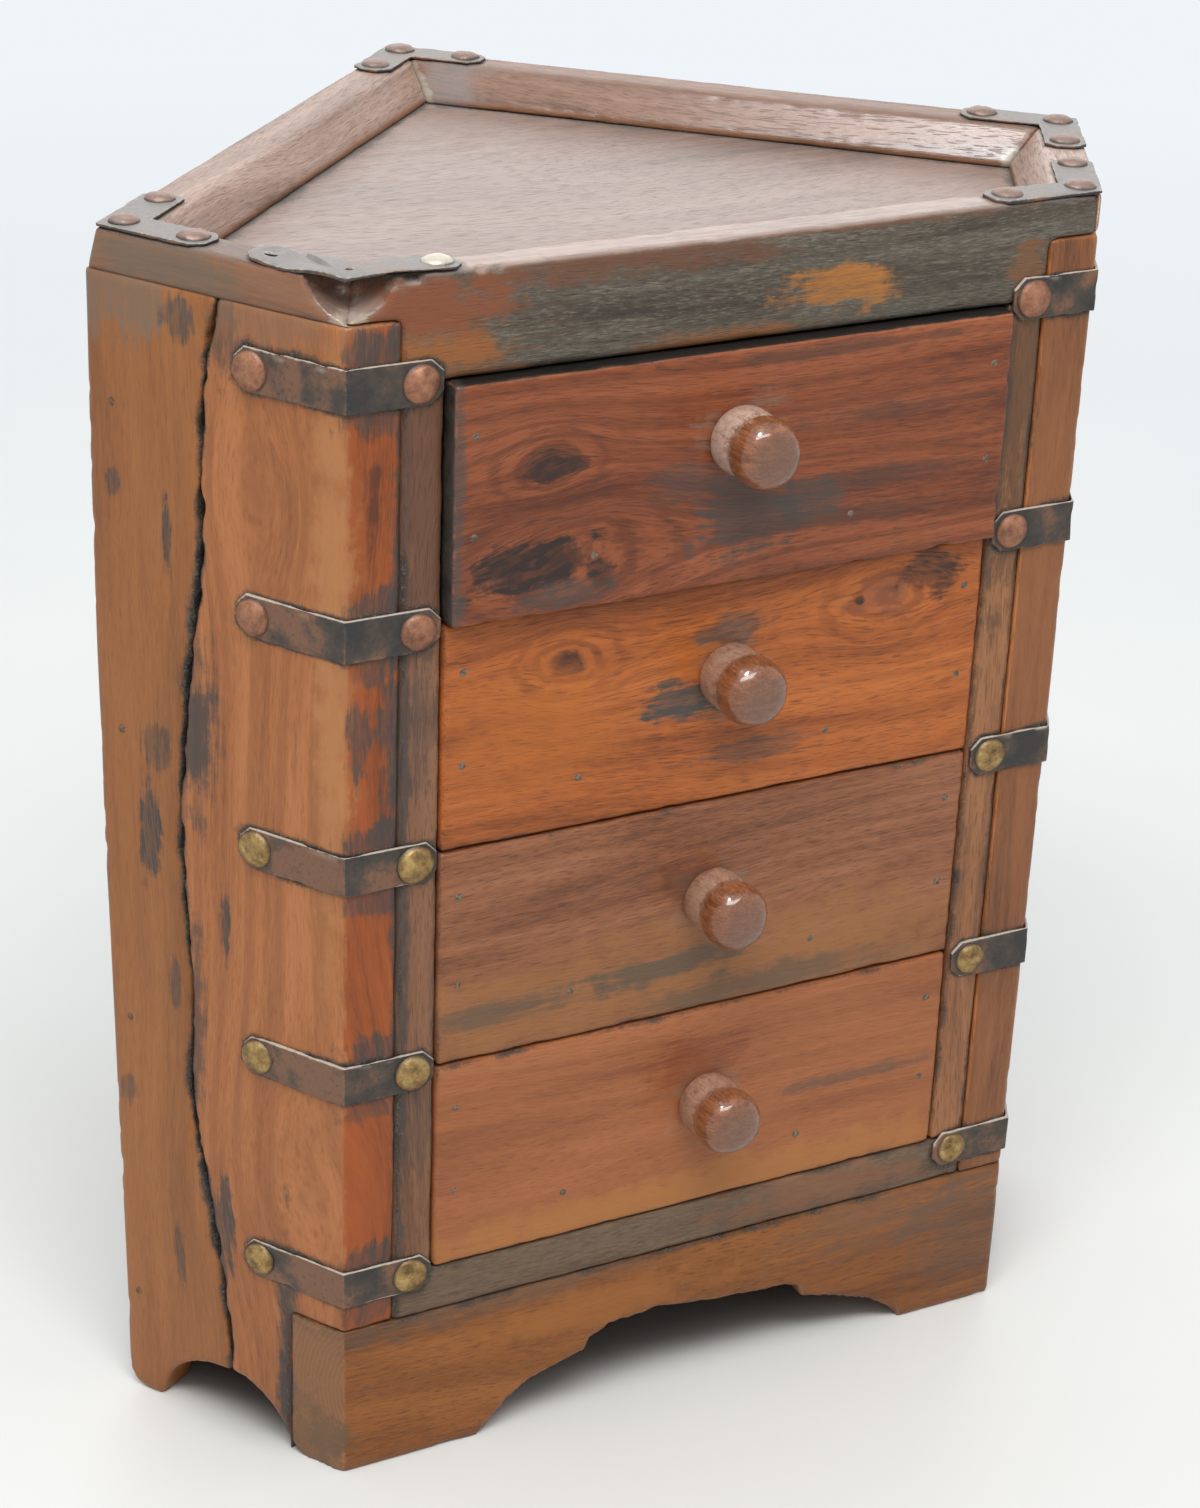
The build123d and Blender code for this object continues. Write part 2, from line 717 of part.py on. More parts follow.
# Drawers: plain nailed boxes. The front hangs below the box to hide the shelf, and the back
# corners stop against the back boards. The top drawer stands a little open.
HALF_DRAWER = HALF_OPENING - DRAWER_SIDE_GAP
HALF_INSIDE = HALF_DRAWER - DRAWER_SIDE_THICKNESS
BOX_DEPTH = INNER_APEX.Y - HALF_DRAWER * BACK_SLOPE - DRAWER_STOP_GAP - FRONT_Y
BOX_HEIGHT = DRAWER_PITCH - DRAWER_LIP - DRAWER_HEADROOM
FACE_HEIGHT = DRAWER_PITCH - DRAWER_FACE_GAP
DRAWER_NAIL_LENGTH = DRAWER_FRONT_THICKNESS + NAIL_BITE

for number, level in enumerate(DRAWER_LEVELS, start=1):
    face_y = FRONT_Y - DRAWER_AJAR if number == 1 else FRONT_Y
    behind_y = face_y + DRAWER_FRONT_THICKNESS
    rear_y = face_y + BOX_DEPTH
    face_bottom = level + DRAWER_FACE_GAP / 2
    box_bottom = level + DRAWER_LIP
    floor_top = box_bottom + DRAWER_BOTTOM_THICKNESS
    knob_x = HALF_DRAWER * KNOB_SIDE_SHARES[number - 1]
    knob_z = face_bottom + FACE_HEIGHT * KNOB_RISE_SHARES[number - 1]
    knob_centre = Vector(knob_x, face_y, knob_z)
    nail_places = [
        (sign * (HALF_DRAWER - DRAWER_SIDE_THICKNESS / 2), face_bottom + FACE_HEIGHT * share)
        for sign in (-1, 1)
        for share in SIDE_NAIL_SHARES
    ]
    nail_places += [
        (HALF_DRAWER * share, box_bottom + DRAWER_BOTTOM_THICKNESS / 2) for share in BOTTOM_NAIL_SHARES
    ]
    nail_planes = [Plane(origin=(x, face_y, z), z_dir=FORWARD) for x, z in nail_places]
    nail_bores = bore_faces(nail_planes, NAIL_RADIUS)
    nail_cut = bore_depth(DRAWER_NAIL_LENGTH)

    with BuildPart() as front:
        extrude(plan_face(rectangle(HALF_DRAWER, face_y, behind_y), face_bottom), amount=FACE_HEIGHT)
        extrude(nail_bores, amount=nail_cut, mode=Mode.SUBTRACT)
        with BuildSketch(Plane(origin=knob_centre, z_dir=FORWARD)):
            Circle(KNOB_TENON_RADIUS + KNOB_TENON_FIT)
        extrude(amount=-DRAWER_FRONT_THICKNESS, mode=Mode.SUBTRACT)
    save(front, f"drawer_{number}_front")

    for side, sign in (("left", -1), ("right", 1)):
        side_outline = [
            (sign * HALF_INSIDE, behind_y),
            (sign * HALF_DRAWER, behind_y),
            (sign * HALF_DRAWER, rear_y),
            (sign * HALF_INSIDE, rear_y),
        ]
        with BuildPart() as drawer_side:
            extrude(plan_face(side_outline, box_bottom), amount=BOX_HEIGHT)
            extrude(nail_bores, amount=nail_cut, mode=Mode.SUBTRACT)
        save(drawer_side, f"drawer_{number}_{side}_side")

    with BuildPart() as floor:
        extrude(
            plan_face(rectangle(HALF_INSIDE, behind_y, rear_y), box_bottom),
            amount=DRAWER_BOTTOM_THICKNESS,
        )
        extrude(nail_bores, amount=nail_cut, mode=Mode.SUBTRACT)
    save(floor, f"drawer_{number}_bottom")

    with BuildPart() as back:
        extrude(
            plan_face(rectangle(HALF_INSIDE, rear_y - DRAWER_BACK_THICKNESS, rear_y), floor_top),
            amount=BOX_HEIGHT - DRAWER_BOTTOM_THICKNESS,
        )
    save(back, f"drawer_{number}_back")

    with BuildPart() as nails:
        with BuildSketch(*nail_planes):
            Circle(NAIL_RADIUS)
        extrude(amount=-DRAWER_NAIL_LENGTH)
    save(nails, f"drawer_{number}_nails")

    # Knob: turned in one piece with the tenon that is glued into the front
    groove_end = KNOB_COLLAR_LENGTH + KNOB_GROOVE_WIDTH
    with BuildPart() as knob:
        with BuildSketch(Plane(origin=knob_centre, x_dir=along("front"), z_dir=-UP)):
            with BuildLine():
                Polyline(
                    (0, KNOB_REACH),
                    (0, -DRAWER_FRONT_THICKNESS),
                    (KNOB_TENON_RADIUS, -DRAWER_FRONT_THICKNESS),
                    (KNOB_TENON_RADIUS, 0),
                    (KNOB_COLLAR_RADIUS, 0),
                    (KNOB_COLLAR_RADIUS, KNOB_COLLAR_LENGTH),
                    (KNOB_GROOVE_RADIUS, KNOB_COLLAR_LENGTH + KNOB_GROOVE_WIDTH / 2),
                    (KNOB_HEAD_RADIUS * KNOB_BACK_SHARE, groove_end),
                )
                ThreePointArc(
                    (KNOB_HEAD_RADIUS * KNOB_BACK_SHARE, groove_end),
                    (KNOB_HEAD_RADIUS, groove_end + KNOB_HEAD_LENGTH * KNOB_WAIST_SHARE),
                    (KNOB_HEAD_RADIUS * KNOB_FACE_SHARE, KNOB_REACH - KNOB_DOME_HEIGHT),
                )
                RadiusArc(
                    (KNOB_HEAD_RADIUS * KNOB_FACE_SHARE, KNOB_REACH - KNOB_DOME_HEIGHT),
                    (0, KNOB_REACH),
                    -dome_radius(KNOB_HEAD_RADIUS * KNOB_FACE_SHARE, KNOB_DOME_HEIGHT),
                )
            make_face()
        revolve(axis=Axis(knob_centre, FORWARD))
    save(knob, f"drawer_{number}_knob")
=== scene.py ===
import math
import bmesh
import bpy
import numpy as np
from mathutils import Euler, Matrix, Vector
from mathutils.bvhtree import BVHTree


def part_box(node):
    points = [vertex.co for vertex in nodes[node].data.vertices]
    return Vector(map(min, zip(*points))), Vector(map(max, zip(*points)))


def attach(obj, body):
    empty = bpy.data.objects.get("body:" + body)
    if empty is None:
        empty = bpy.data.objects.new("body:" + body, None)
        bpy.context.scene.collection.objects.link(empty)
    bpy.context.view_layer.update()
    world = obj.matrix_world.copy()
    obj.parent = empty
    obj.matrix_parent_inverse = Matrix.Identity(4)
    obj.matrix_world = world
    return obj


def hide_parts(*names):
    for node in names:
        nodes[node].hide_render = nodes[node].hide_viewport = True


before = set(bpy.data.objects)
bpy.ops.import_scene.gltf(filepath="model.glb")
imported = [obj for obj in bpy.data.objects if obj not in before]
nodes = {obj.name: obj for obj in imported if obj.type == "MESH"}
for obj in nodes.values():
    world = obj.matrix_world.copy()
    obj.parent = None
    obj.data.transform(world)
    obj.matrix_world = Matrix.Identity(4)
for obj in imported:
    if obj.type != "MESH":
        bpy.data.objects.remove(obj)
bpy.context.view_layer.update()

# Side boards: planks of an old red hardwood that stand on end on the two returns. The left one dried out and
# split from top to foot into two boards. They were sawn and planed by hand, waxed, and nailed to the backs.

STRAP_NODES = [name for name in nodes if "strap" in name or "tack" in name]
WOOD_NODES = [name for name in nodes if name not in STRAP_NODES and "nail" not in name]
MERGE_REACH = 0.00001
SHARP_ANGLE = 0.45
COVERED_HOLE = 0.0105
SEAM_REACH = 0.0009
RUN_STEP = 0.006
FAR_AWAY = 0.1
STAIN_REACH = 0.008
TEAR_SOOT = 0.0016
TEAR_DEPTH = 0.0014
TEAR_WIDTH = 0.004
WEAR_WIDTH = 0.0016
NICK_WIDTH = 0.0024
WAVE_LUMP = 0.03
SOOT_LUMP = 0.016
KNOCK_LUMPS = (0.0035, 0.011)
TEAR_LUMPS = (0.007, 0.0026)
BITE_LUMP = 0.0025
CLEAN_SHARE = 0.2
EASING_ROUNDS = 2
LATTICE = 32


def face_tree(names):
    """Search tree over the faces of some CAD nodes, and the name of the node that owns each face."""
    corners = []
    faces = []
    owners = []
    for name in names:
        mesh = nodes[name].data
        first = len(corners)
        corners += [vertex.co.copy() for vertex in mesh.vertices]
        faces += [[first + index for index in face.vertices] for face in mesh.polygons]
        owners += [name] * len(mesh.polygons)
    return BVHTree.FromPolygons(corners, faces), owners


wood_tree, wood_owners = face_tree(WOOD_NODES)
strap_tree = face_tree(STRAP_NODES)[0]


def sharp_edges(bm):
    """Edges where two flat faces of a board meet."""
    return [edge for edge in bm.edges if len(edge.link_faces) == 2 and edge.calc_face_angle(0) > SHARP_ANGLE]


def edge_groups(edges):
    """Sets of vertices that the given edges join together."""
    group_of = {}
    for edge in edges:
        first, second = edge.verts
        joined = group_of.get(first, {first}) | group_of.get(second, {second})
        for vertex in joined:
            group_of[vertex] = joined
    return {id(group): group for group in group_of.values()}.values()


def clean_copy(node, fill_holes=True):
    """Merged copy of a CAD node's mesh. Holes that a nail, tack or knob covers are filled."""
    bm = bmesh.new()
    bm.from_mesh(nodes[node].data)
    bmesh.ops.remove_doubles(bm, verts=bm.verts, dist=MERGE_REACH)
    if fill_holes:
        hole_verts = set()
        for group in edge_groups(sharp_edges(bm)):
            places = np.array([vertex.co for vertex in group])
            if np.ptp(places, axis=0).max() < COVERED_HOLE:
                hole_verts |= group
        walls = [face for face in bm.faces if all(vertex in hole_verts for vertex in face.verts)]
        bmesh.ops.delete(bm, geom=walls, context="FACES")
        bmesh.ops.holes_fill(bm, edges=[edge for edge in bm.edges if edge.is_boundary])
        loose = [vertex for vertex in bm.verts if not vertex.link_faces]
        bmesh.ops.delete(bm, geom=loose, context="VERTS")
        bmesh.ops.triangulate(bm, faces=bm.faces)
    return bm


def edge_runs(bm, node):
    """Sharp edges as pairs of ends: those open to the air, and those in a seam with other wood."""
    runs = {"open": [], "seam": []}
    for edge in sharp_edges(bm):
        start, end = (vertex.co for vertex in edge.verts)
        count = max(1, round(edge.calc_length() / RUN_STEP))
        last_kind = None
        for number in range(count):
            near = start.lerp(end, number / count)
            far = start.lerp(end, (number + 1) / count)
            hits = wood_tree.find_nearest_range((near + far) / 2, SEAM_REACH)
            kind = "seam" if any(wood_owners[hit[2]] != node for hit in hits) else "open"
            if kind == last_kind:
                runs[kind][-1][1] = far
            else:
                runs[kind].append([near, far])
            last_kind = kind
    return [np.array(runs[kind], float).reshape(-1, 2, 3) for kind in ("open", "seam")]


def distance_to(runs, points):
    """Distance from each point to the nearest of some edge runs."""
    nearest = np.full(len(points), FAR_AWAY)
    for start, end in runs:
        run = end - start
        share = np.clip((points - start) @ run / max(run @ run, MERGE_REACH**2), 0, 1)
        nearest = np.minimum(nearest, np.linalg.norm(points - start - share[:, None] * run, axis=1))
    return nearest


def reach_to(tree, points):
    """Distance from each point to the nearest face of a search tree."""
    nearest = np.full(len(points), FAR_AWAY)
    for index, point in enumerate(points):
        hit = tree.find_nearest(point, STAIN_REACH)
        if hit[0] is not None:
            nearest[index] = hit[3]
    return nearest


def lumps(points, size, seed):
    """Smooth random field from -1 to 1, with lumps of about the given size."""
    lattice = np.random.default_rng(seed).uniform(-1, 1, (LATTICE, LATTICE, LATTICE))
    place = points / size
    low = np.floor(place).astype(int)
    part = place - low
    part = part * part * (3 - 2 * part)
    field = np.zeros(len(points))
    for corner in np.ndindex(2, 2, 2):
        weight = np.prod(np.where(np.array(corner, bool), part, 1 - part), axis=1)
        field += weight * lattice[tuple(((low + corner) % LATTICE).T)]
    return field


def add_object(name, mesh):
    """New object at the origin."""
    made = bpy.data.objects.new(name, mesh)
    bpy.context.scene.collection.objects.link(made)
    return made


def baked_mesh(made):
    """Plain mesh of an object with its modifiers applied. The object is removed."""
    evaluated = made.evaluated_get(bpy.context.evaluated_depsgraph_get())
    mesh = bpy.data.meshes.new_from_object(evaluated)
    bpy.data.objects.remove(made)
    return mesh


def read_vectors(items, key="co"):
    """Places or normals of a mesh as rows of three numbers."""
    values = np.empty(len(items) * 3)
    items.foreach_get(key, values)
    return values.reshape(-1, 3)


def move_vertices(mesh, points):
    """Give a mesh its final places and smooth shading."""
    mesh.vertices.foreach_set("co", points.ravel())
    mesh.shade_smooth()
    mesh.update()


def set_attribute(mesh, name, values):
    """Store one number for each vertex, for the material to read."""
    layer = mesh.attributes.new(name, "FLOAT", "POINT")
    layer.data.foreach_set("value", values.astype(np.float32))


def worn_mesh(
    node,
    voxel,
    turn=0.0,
    seed=0,
    wave=0.00012,
    nick=0.001,
    seam_width=0.0013,
    seam_nick=0.0004,
    clean_above=math.inf,
    torn_from=None,
    dirty_tree=strap_tree,
    dirty_width=0.0018,
    bites=(),
    shape=None,
    fill_holes=True,
):
    """Dense closed mesh of a CAD node with eased, nicked edges. turn is the heading of its long side in
    plan. Each vertex keeps how near it is to an open edge (wear) and to a seam or to iron (grime).
    torn_from names the board that it split away from."""
    bm = clean_copy(node, fill_holes)
    open_runs, seam_runs = edge_runs(bm, node)
    heading = Matrix.Rotation(turn, 4, "Z")
    bm.transform(heading.inverted())
    rough = bpy.data.meshes.new(node)
    bm.to_mesh(rough)
    bm.free()
    made = add_object(f"{node}_blank", rough)
    remesh = made.modifiers.new("solid wood", "REMESH")
    remesh.mode = "VOXEL"
    remesh.voxel_size = voxel
    ease = made.modifiers.new("eased edges", "SMOOTH")
    ease.iterations = EASING_ROUNDS
    mesh = baked_mesh(made)
    mesh.transform(heading)

    points = read_vectors(mesh.vertices)
    normals = read_vectors(mesh.vertex_normals, "vector")
    to_open = distance_to(open_runs, points)
    to_seam = distance_to(seam_runs, points)
    set_attribute(mesh, "wear", np.exp(-((to_open / WEAR_WIDTH) ** 2)))
    uneven = 1 + 0.8 * lumps(points, SOOT_LUMP, seed + 4)
    open_seam = np.where(points[:, 2] > clean_above, CLEAN_SHARE, 1)
    seam_soot = np.exp(-to_seam / (seam_width * uneven)) * open_seam
    soot = np.maximum(seam_soot, 0.85 * np.exp(-reach_to(dirty_tree, points) / (dirty_width * uneven)))
    moved = points + normals * (wave * lumps(points, WAVE_LUMP, seed))[:, None]
    if torn_from:
        to_tear = reach_to(face_tree([torn_from])[0], points)
        soot = np.maximum(soot, 1.5 * np.exp(-to_tear / (TEAR_SOOT * uneven)))
        tears = 0.6 * lumps(points, TEAR_LUMPS[0], seed + 5) + 0.4 * lumps(points, TEAR_LUMPS[1], seed + 6)
        tears *= TEAR_DEPTH * np.exp(-((to_tear / TEAR_WIDTH) ** 2))
        moved += np.array((math.cos(turn), math.sin(turn), 0)) * tears[:, None]
    set_attribute(mesh, "grime", soot)
    knocks = 0.6 * lumps(points, KNOCK_LUMPS[0], seed + 1) + 0.7 * lumps(points, KNOCK_LUMPS[1], seed + 2)
    depth = nick * np.clip(knocks - 0.15, 0, 1) * np.exp(-((to_open / NICK_WIDTH) ** 2))
    depth += seam_nick * open_seam * np.clip(knocks + 0.2, 0, 1) * np.exp(-((to_seam / WEAR_WIDTH) ** 2))
    moved -= normals * depth[:, None]
    for centre, radius in bites:
        offset = moved - np.array(centre)
        reach = np.linalg.norm(offset, axis=1)
        ragged = radius * (1 + 0.22 * lumps(points, BITE_LUMP, seed + 3))
        push = np.where(reach < ragged, ragged / np.maximum(reach, MERGE_REACH), 1)
        moved = np.array(centre) + offset * push[:, None]
    if shape:
        moved = shape(moved)
    move_vertices(mesh, moved)
    return mesh


class Shade:
    """One socket of a material's nodes, so that shader maths reads as plain arithmetic."""

    def __init__(self, tree, socket):
        self.tree = tree
        self.socket = socket

    def node(self, kind, settings, inputs, output=0):
        """Add a node: its settings first, then the values or links of its sockets. Wraps one output."""
        made = self.tree.nodes.new(kind)
        for key, value in settings.items():
            if key == "stops":
                stops = made.color_ramp.elements
                while len(stops) < len(value):
                    stops.new(1)
                for stop, (position, colour) in zip(stops, value):
                    stop.position = position
                    stop.color = (*colour, 1)
            else:
                setattr(made, key, value)
        for key, value in inputs.items():
            socket = made.inputs[key]
            if isinstance(value, Shade):
                self.tree.links.new(value.socket, socket)
            elif socket.type == "RGBA":
                socket.default_value = (*value, 1)
            else:
                socket.default_value = value
        return Shade(self.tree, made.outputs[output]) if made.outputs else None

    def maths(self, operation, first, second=0.0):
        return self.node("ShaderNodeMath", {"operation": operation}, {0: first, 1: second})

    def __add__(self, other):
        return self.maths("ADD", self, other)

    __radd__ = __add__

    def __sub__(self, other):
        return self.maths("SUBTRACT", self, other)

    def __rsub__(self, other):
        return self.maths("SUBTRACT", other, self)

    def __mul__(self, other):
        return self.maths("MULTIPLY", self, other)

    def bell(self):
        """1 at zero, falling towards 0 on both sides."""
        return self.maths("EXPONENT", self * self * -1)

    def step(self, low, high):
        """0 at low and 1 at high, smooth between. low may be the higher number."""
        inputs = {"Value": self, "From Min": low, "From Max": high}
        return self.node("ShaderNodeMapRange", {"interpolation_type": "SMOOTHSTEP"}, inputs)

    def blend(self, first, second):
        """Mix of two colours, with this value as the share of the second."""
        return self.node("ShaderNodeMix", {"data_type": "RGBA"}, {0: self, 6: first, 7: second}, 2)

    def vector(self, operation, other=(0, 0, 0), output=0):
        return self.node("ShaderNodeVectorMath", {"operation": operation}, {0: self, 1: other}, output)

    def part(self, number):
        """One coordinate of a vector: 0, 1 or 2."""
        return self.node("ShaderNodeSeparateXYZ", {}, {0: self}, number)

    def noise(self, scale, detail=2.0, roughness=0.5):
        inputs = {"Vector": self, "Scale": scale, "Detail": detail, "Roughness": roughness}
        return self.node("ShaderNodeTexNoise", {}, inputs)

    def ramp(self, stops):
        """Colour for this value, from stops of value and colour."""
        return self.node("ShaderNodeValToRGB", {"stops": stops}, {"Fac": self})

    def attribute(self, name):
        """A number that the mesh holds for each vertex."""
        return self.node("ShaderNodeAttribute", {"attribute_name": name}, {}, 2)

    def facing(self, direction):
        """Cosine between the surface's normal and a direction."""
        normal = self.node("ShaderNodeNewGeometry", {}, {}, 1)
        return normal.vector("DOT_PRODUCT", direction, 1)


def new_finish(name):
    """Empty material, and the object coordinates that its pattern hangs on."""
    material = bpy.data.materials.new(name)
    material.use_nodes = True
    tree = material.node_tree
    tree.nodes.clear()
    coordinates = tree.nodes.new("ShaderNodeTexCoord")
    return material, Shade(tree, coordinates.outputs["Object"])


def close_finish(place, bump_height, bump_depth, shader_inputs):
    """End a material in one shader with a bumped normal."""
    bump = place.node("ShaderNodeBump", {}, {"Strength": 1.0, "Distance": bump_depth, "Height": bump_height})
    shader = place.node("ShaderNodeBsdfPrincipled", {}, {**shader_inputs, "Normal": bump})
    place.node("ShaderNodeOutputMaterial", {}, {"Surface": shader})


GRAIN_UP = (0, math.pi / 2, 0)
GRAIN_ACROSS = (0, 0, 0)
GRAIN_BACK = (0, 0, -math.pi / 2)
KNOT_PULL = 0.85
BEND_SCALE = (5, 13, 13)
BEND_DEPTH = (0, 0.03, 0.03)
BROAD_SCALE = (6, 75, 75)
STREAK_SCALE = (20, 420, 420)
THREAD_SCALE = (190, 1900, 1900)
PORE_SCALE = (170, 2800, 2800)
FLECK_SCALE = (330, 2400, 2400)
SEED_SHIFT = Vector((0.37, 0.61, 0.17))
UP = (0, 0, 1)
PORE_COLOUR = (0.06, 0.025, 0.014)
SOOT_COLOUR = (0.032, 0.026, 0.022)
GRIT_COLOUR = (0.13, 0.112, 0.09)
END_RING_RATE = 4300
BROAD_PATCH = 0.02
FACE_FADE = (0.72, 0.9)
WORN_COLOUR = (0.42, 0.19, 0.08)
DUST_COLOUR = (0.48, 0.41, 0.37)
BLEACHED = (0.24, 0.2, 0.155)


def times(colour, share):
    """A colour made lighter or darker by a share."""
    return [share * part for part in colour]


def wood(
    name,
    grain,
    tone,
    seed,
    lines=0.35,
    ring_rate=420,
    contrast=1.0,
    soot=1.0,
    wear=0.7,
    polish=0.34,
    dust=0.0,
    flecks=0.0,
    bump=0.0002,
    pores=0.4,
    glossy=(),
    knots=(),
    patches=(),
    sides=(),
    ends=(),
):
    """Finish of one waxed board of one middle tone. grain turns its length onto X. knots are (point, size,
    strength), patches (point, radii, colour, strength), sides (direction, colour, strength), ends, where the
    yearly rings show, (direction, middle of the rings, colour) and glossy faces (direction, share)."""
    dark = [part * (1 - contrast * share) for share, part in zip((0.5, 0.54, 0.5), tone)]
    light = [part * (1 + contrast * share) for share, part in zip((0.26, 0.36, 0.5), tone)]
    material, place = new_finish(name)
    shift = SEED_SHIFT * seed
    fibre = place.node("ShaderNodeMapping", {}, {"Vector": place, "Location": shift, "Rotation": grain})
    eyes = []
    for point, size, strength in knots:
        offset = fibre.vector("SUBTRACT", Euler(grain).to_matrix() @ Vector(point) + shift)
        reach = offset.vector("DIVIDE", (2.2 * size, 1.4 * size, 1.4 * size)).vector("LENGTH", output=1)
        eyes.append((reach, strength))
        pull = offset.vector("MULTIPLY", (0, KNOT_PULL, KNOT_PULL)).vector("MULTIPLY", reach.bell())
        fibre = fibre.vector("SUBTRACT", pull)
    bend = fibre.vector("MULTIPLY", BEND_SCALE)
    bend = bend.node("ShaderNodeTexNoise", {}, {"Vector": bend, "Scale": 1.0, "Detail": 1.0}, 1)
    fibre = fibre.vector("ADD", bend.vector("MULTIPLY", BEND_DEPTH))
    broad = fibre.vector("MULTIPLY", BROAD_SCALE).noise(1, 3, 0.5)
    streak = fibre.vector("MULTIPLY", STREAK_SCALE).noise(1, 4, 0.6)
    thread = fibre.vector("MULTIPLY", THREAD_SCALE).noise(1, 3, 0.6)
    pore = fibre.vector("MULTIPLY", PORE_SCALE).noise(1, 0).step(0.62, 0.74)
    blotch = place.noise(95, 6, 0.66)
    across = fibre.part(1) * 0.8 + fibre.part(2) * 0.6
    phase = across * ring_rate
    ring = phase.maths("SINE", phase).step(0.2, 1)

    shade = broad * 0.5 + streak * 0.3 + thread * 0.2
    colour = shade.ramp([(0.38, dark), (0.5, tone), (0.61, light)])
    for reach, strength in eyes:
        swirl = reach * 15 + (streak - 0.5) * 9 + (blotch - 0.5) * 6
        eye = swirl.maths("SINE", swirl).step(-0.2, 0.9) * reach.step(1.5, 0.5)
        colour = (eye * strength).blend(colour, dark)
    colour = (ring * lines * broad.step(0.3, 0.6) * streak.step(0.3, 0.6)).blend(colour, dark)
    colour = (thread.step(0.5, 0.3) * 0.25).blend(colour, dark)
    colour = (pore * pores).blend(colour, PORE_COLOUR)
    if flecks:
        fleck = fibre.vector("MULTIPLY", FLECK_SCALE).noise(1, 3, 0.7)
        bleached = (fleck + (streak - 0.5) * 0.3).step(0.5, 0.7) * flecks
        colour = bleached.blend(colour, BLEACHED)
        colour = (fleck.step(0.47, 0.3) * flecks).blend(colour, SOOT_COLOUR)
    for direction, side_tone, strength in sides:
        mask = place.facing(direction).step(*FACE_FADE)
        stops = [(0.36, times(side_tone, 0.45)), (0.5, side_tone), (0.64, times(side_tone, 1.3))]
        colour = (mask * strength).blend(colour, shade.ramp(stops))
    for direction, middle, end_tone in ends:
        rings = place.vector("SUBTRACT", middle).vector("LENGTH", output=1) + (blotch - 0.5) * 0.004
        phase = rings * END_RING_RATE
        end = phase.maths("SINE", phase).step(0.9, -0.5).blend(times(end_tone, 0.86), end_tone)
        colour = place.facing(direction).step(*FACE_FADE).blend(colour, end)
    ragged = (streak - 0.5) * 1.5 + (blotch - 0.5) * 2.6 + (thread - 0.5) * 0.6
    soaked = (streak * 0.5 + thread * 0.5).step(0.56, 0.42) * 0.4 + 0.8
    for point, radii, stain, strength in patches:
        reach = place.vector("SUBTRACT", point).vector("DIVIDE", radii).vector("LENGTH", output=1)
        if max(radii) > BROAD_PATCH:
            mask = (reach + ragged).step(1.25, 0.35)
        else:
            mask = (reach + ragged).step(1.25, 0.7) * soaked
        colour = (mask * strength).blend(colour, stain)
    worn = (place.attribute("wear") + (blotch - 0.5) * 2.0 + (streak - 0.5)).step(0.75, 1.25) * wear
    colour = worn.blend(colour, WORN_COLOUR)
    grit = place.noise(1100, 3, 0.7)
    dirt = (place.attribute("grime") + (blotch - 0.5) * 1.3 + (grit - 0.5) * 0.8).step(0.38, 0.9) * soot
    colour = dirt.blend(colour, grit.step(0.46, 0.7).blend(SOOT_COLOUR, GRIT_COLOUR))
    if dust:
        settled = place.facing(UP).step(0.45, 0.95) * (0.3 + streak * 0.8) * dust
        colour = settled.blend(colour, DUST_COLOUR)
    roughness = streak * 0.14 + dirt * 0.25 + pore * 0.1 + polish
    for direction, share in glossy:
        roughness = roughness - place.facing(direction).step(*FACE_FADE) * share
    height = thread * 0.6 + streak * 0.3 - pore * pores + blotch * 0.25 + dirt * grit * 1.5
    shader = {"Base Color": colour, "Roughness": roughness, "Specular IOR Level": 0.3, "Coat Weight": 0.06}
    close_finish(place, height, bump, {**shader, "Coat Roughness": 0.25})
    return material


def place_piece(name, mesh, material, body, slot, *replaced):
    """Finished piece: its mesh, its material, the body it rides on and the CAD nodes it stands for."""
    mesh.materials.clear()
    mesh.materials.append(material)
    made = add_object(name, mesh)
    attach(made, body)
    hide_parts(*replaced)
    return made


def far_corner(node, direction):
    """The vertex of a CAD node that lies furthest in a direction."""
    return max((vertex.co for vertex in nodes[node].data.vertices), key=Vector(direction).dot)


front_left = far_corner("front_apron", (-0.1, -1, 0)).copy()
rear_left = far_corner("left_rear_side_board", (-1, 0, 0)).copy()
front_y = front_left.y
left_run = (rear_left - front_left).xy.normalized()
left_turn = math.atan2(left_run.y, left_run.x)
RETURN_OUT = (-left_run.y, left_run.x, 0)
FRONT_OUT = (0, -1, 0)


def on_return(back, height):
    """Point on the left return: a distance back from the front corner, and a height."""
    plan = front_left.xy + left_run * back
    return Vector((plan.x, plan.y, height))


def on_front(across, height):
    """Point on the front plane."""
    return Vector((across, front_y, height))


def stains(plane, depth, *rows):
    """Stains on one plane, from rows of place, height, half width, half height, colour and strength. With
    no depth they go in as far as they are wide."""
    made = []
    for place, height, wide, tall, colour, strength in rows:
        made.append((plane(place, height), (wide, depth or wide, tall), colour, strength))
    return made


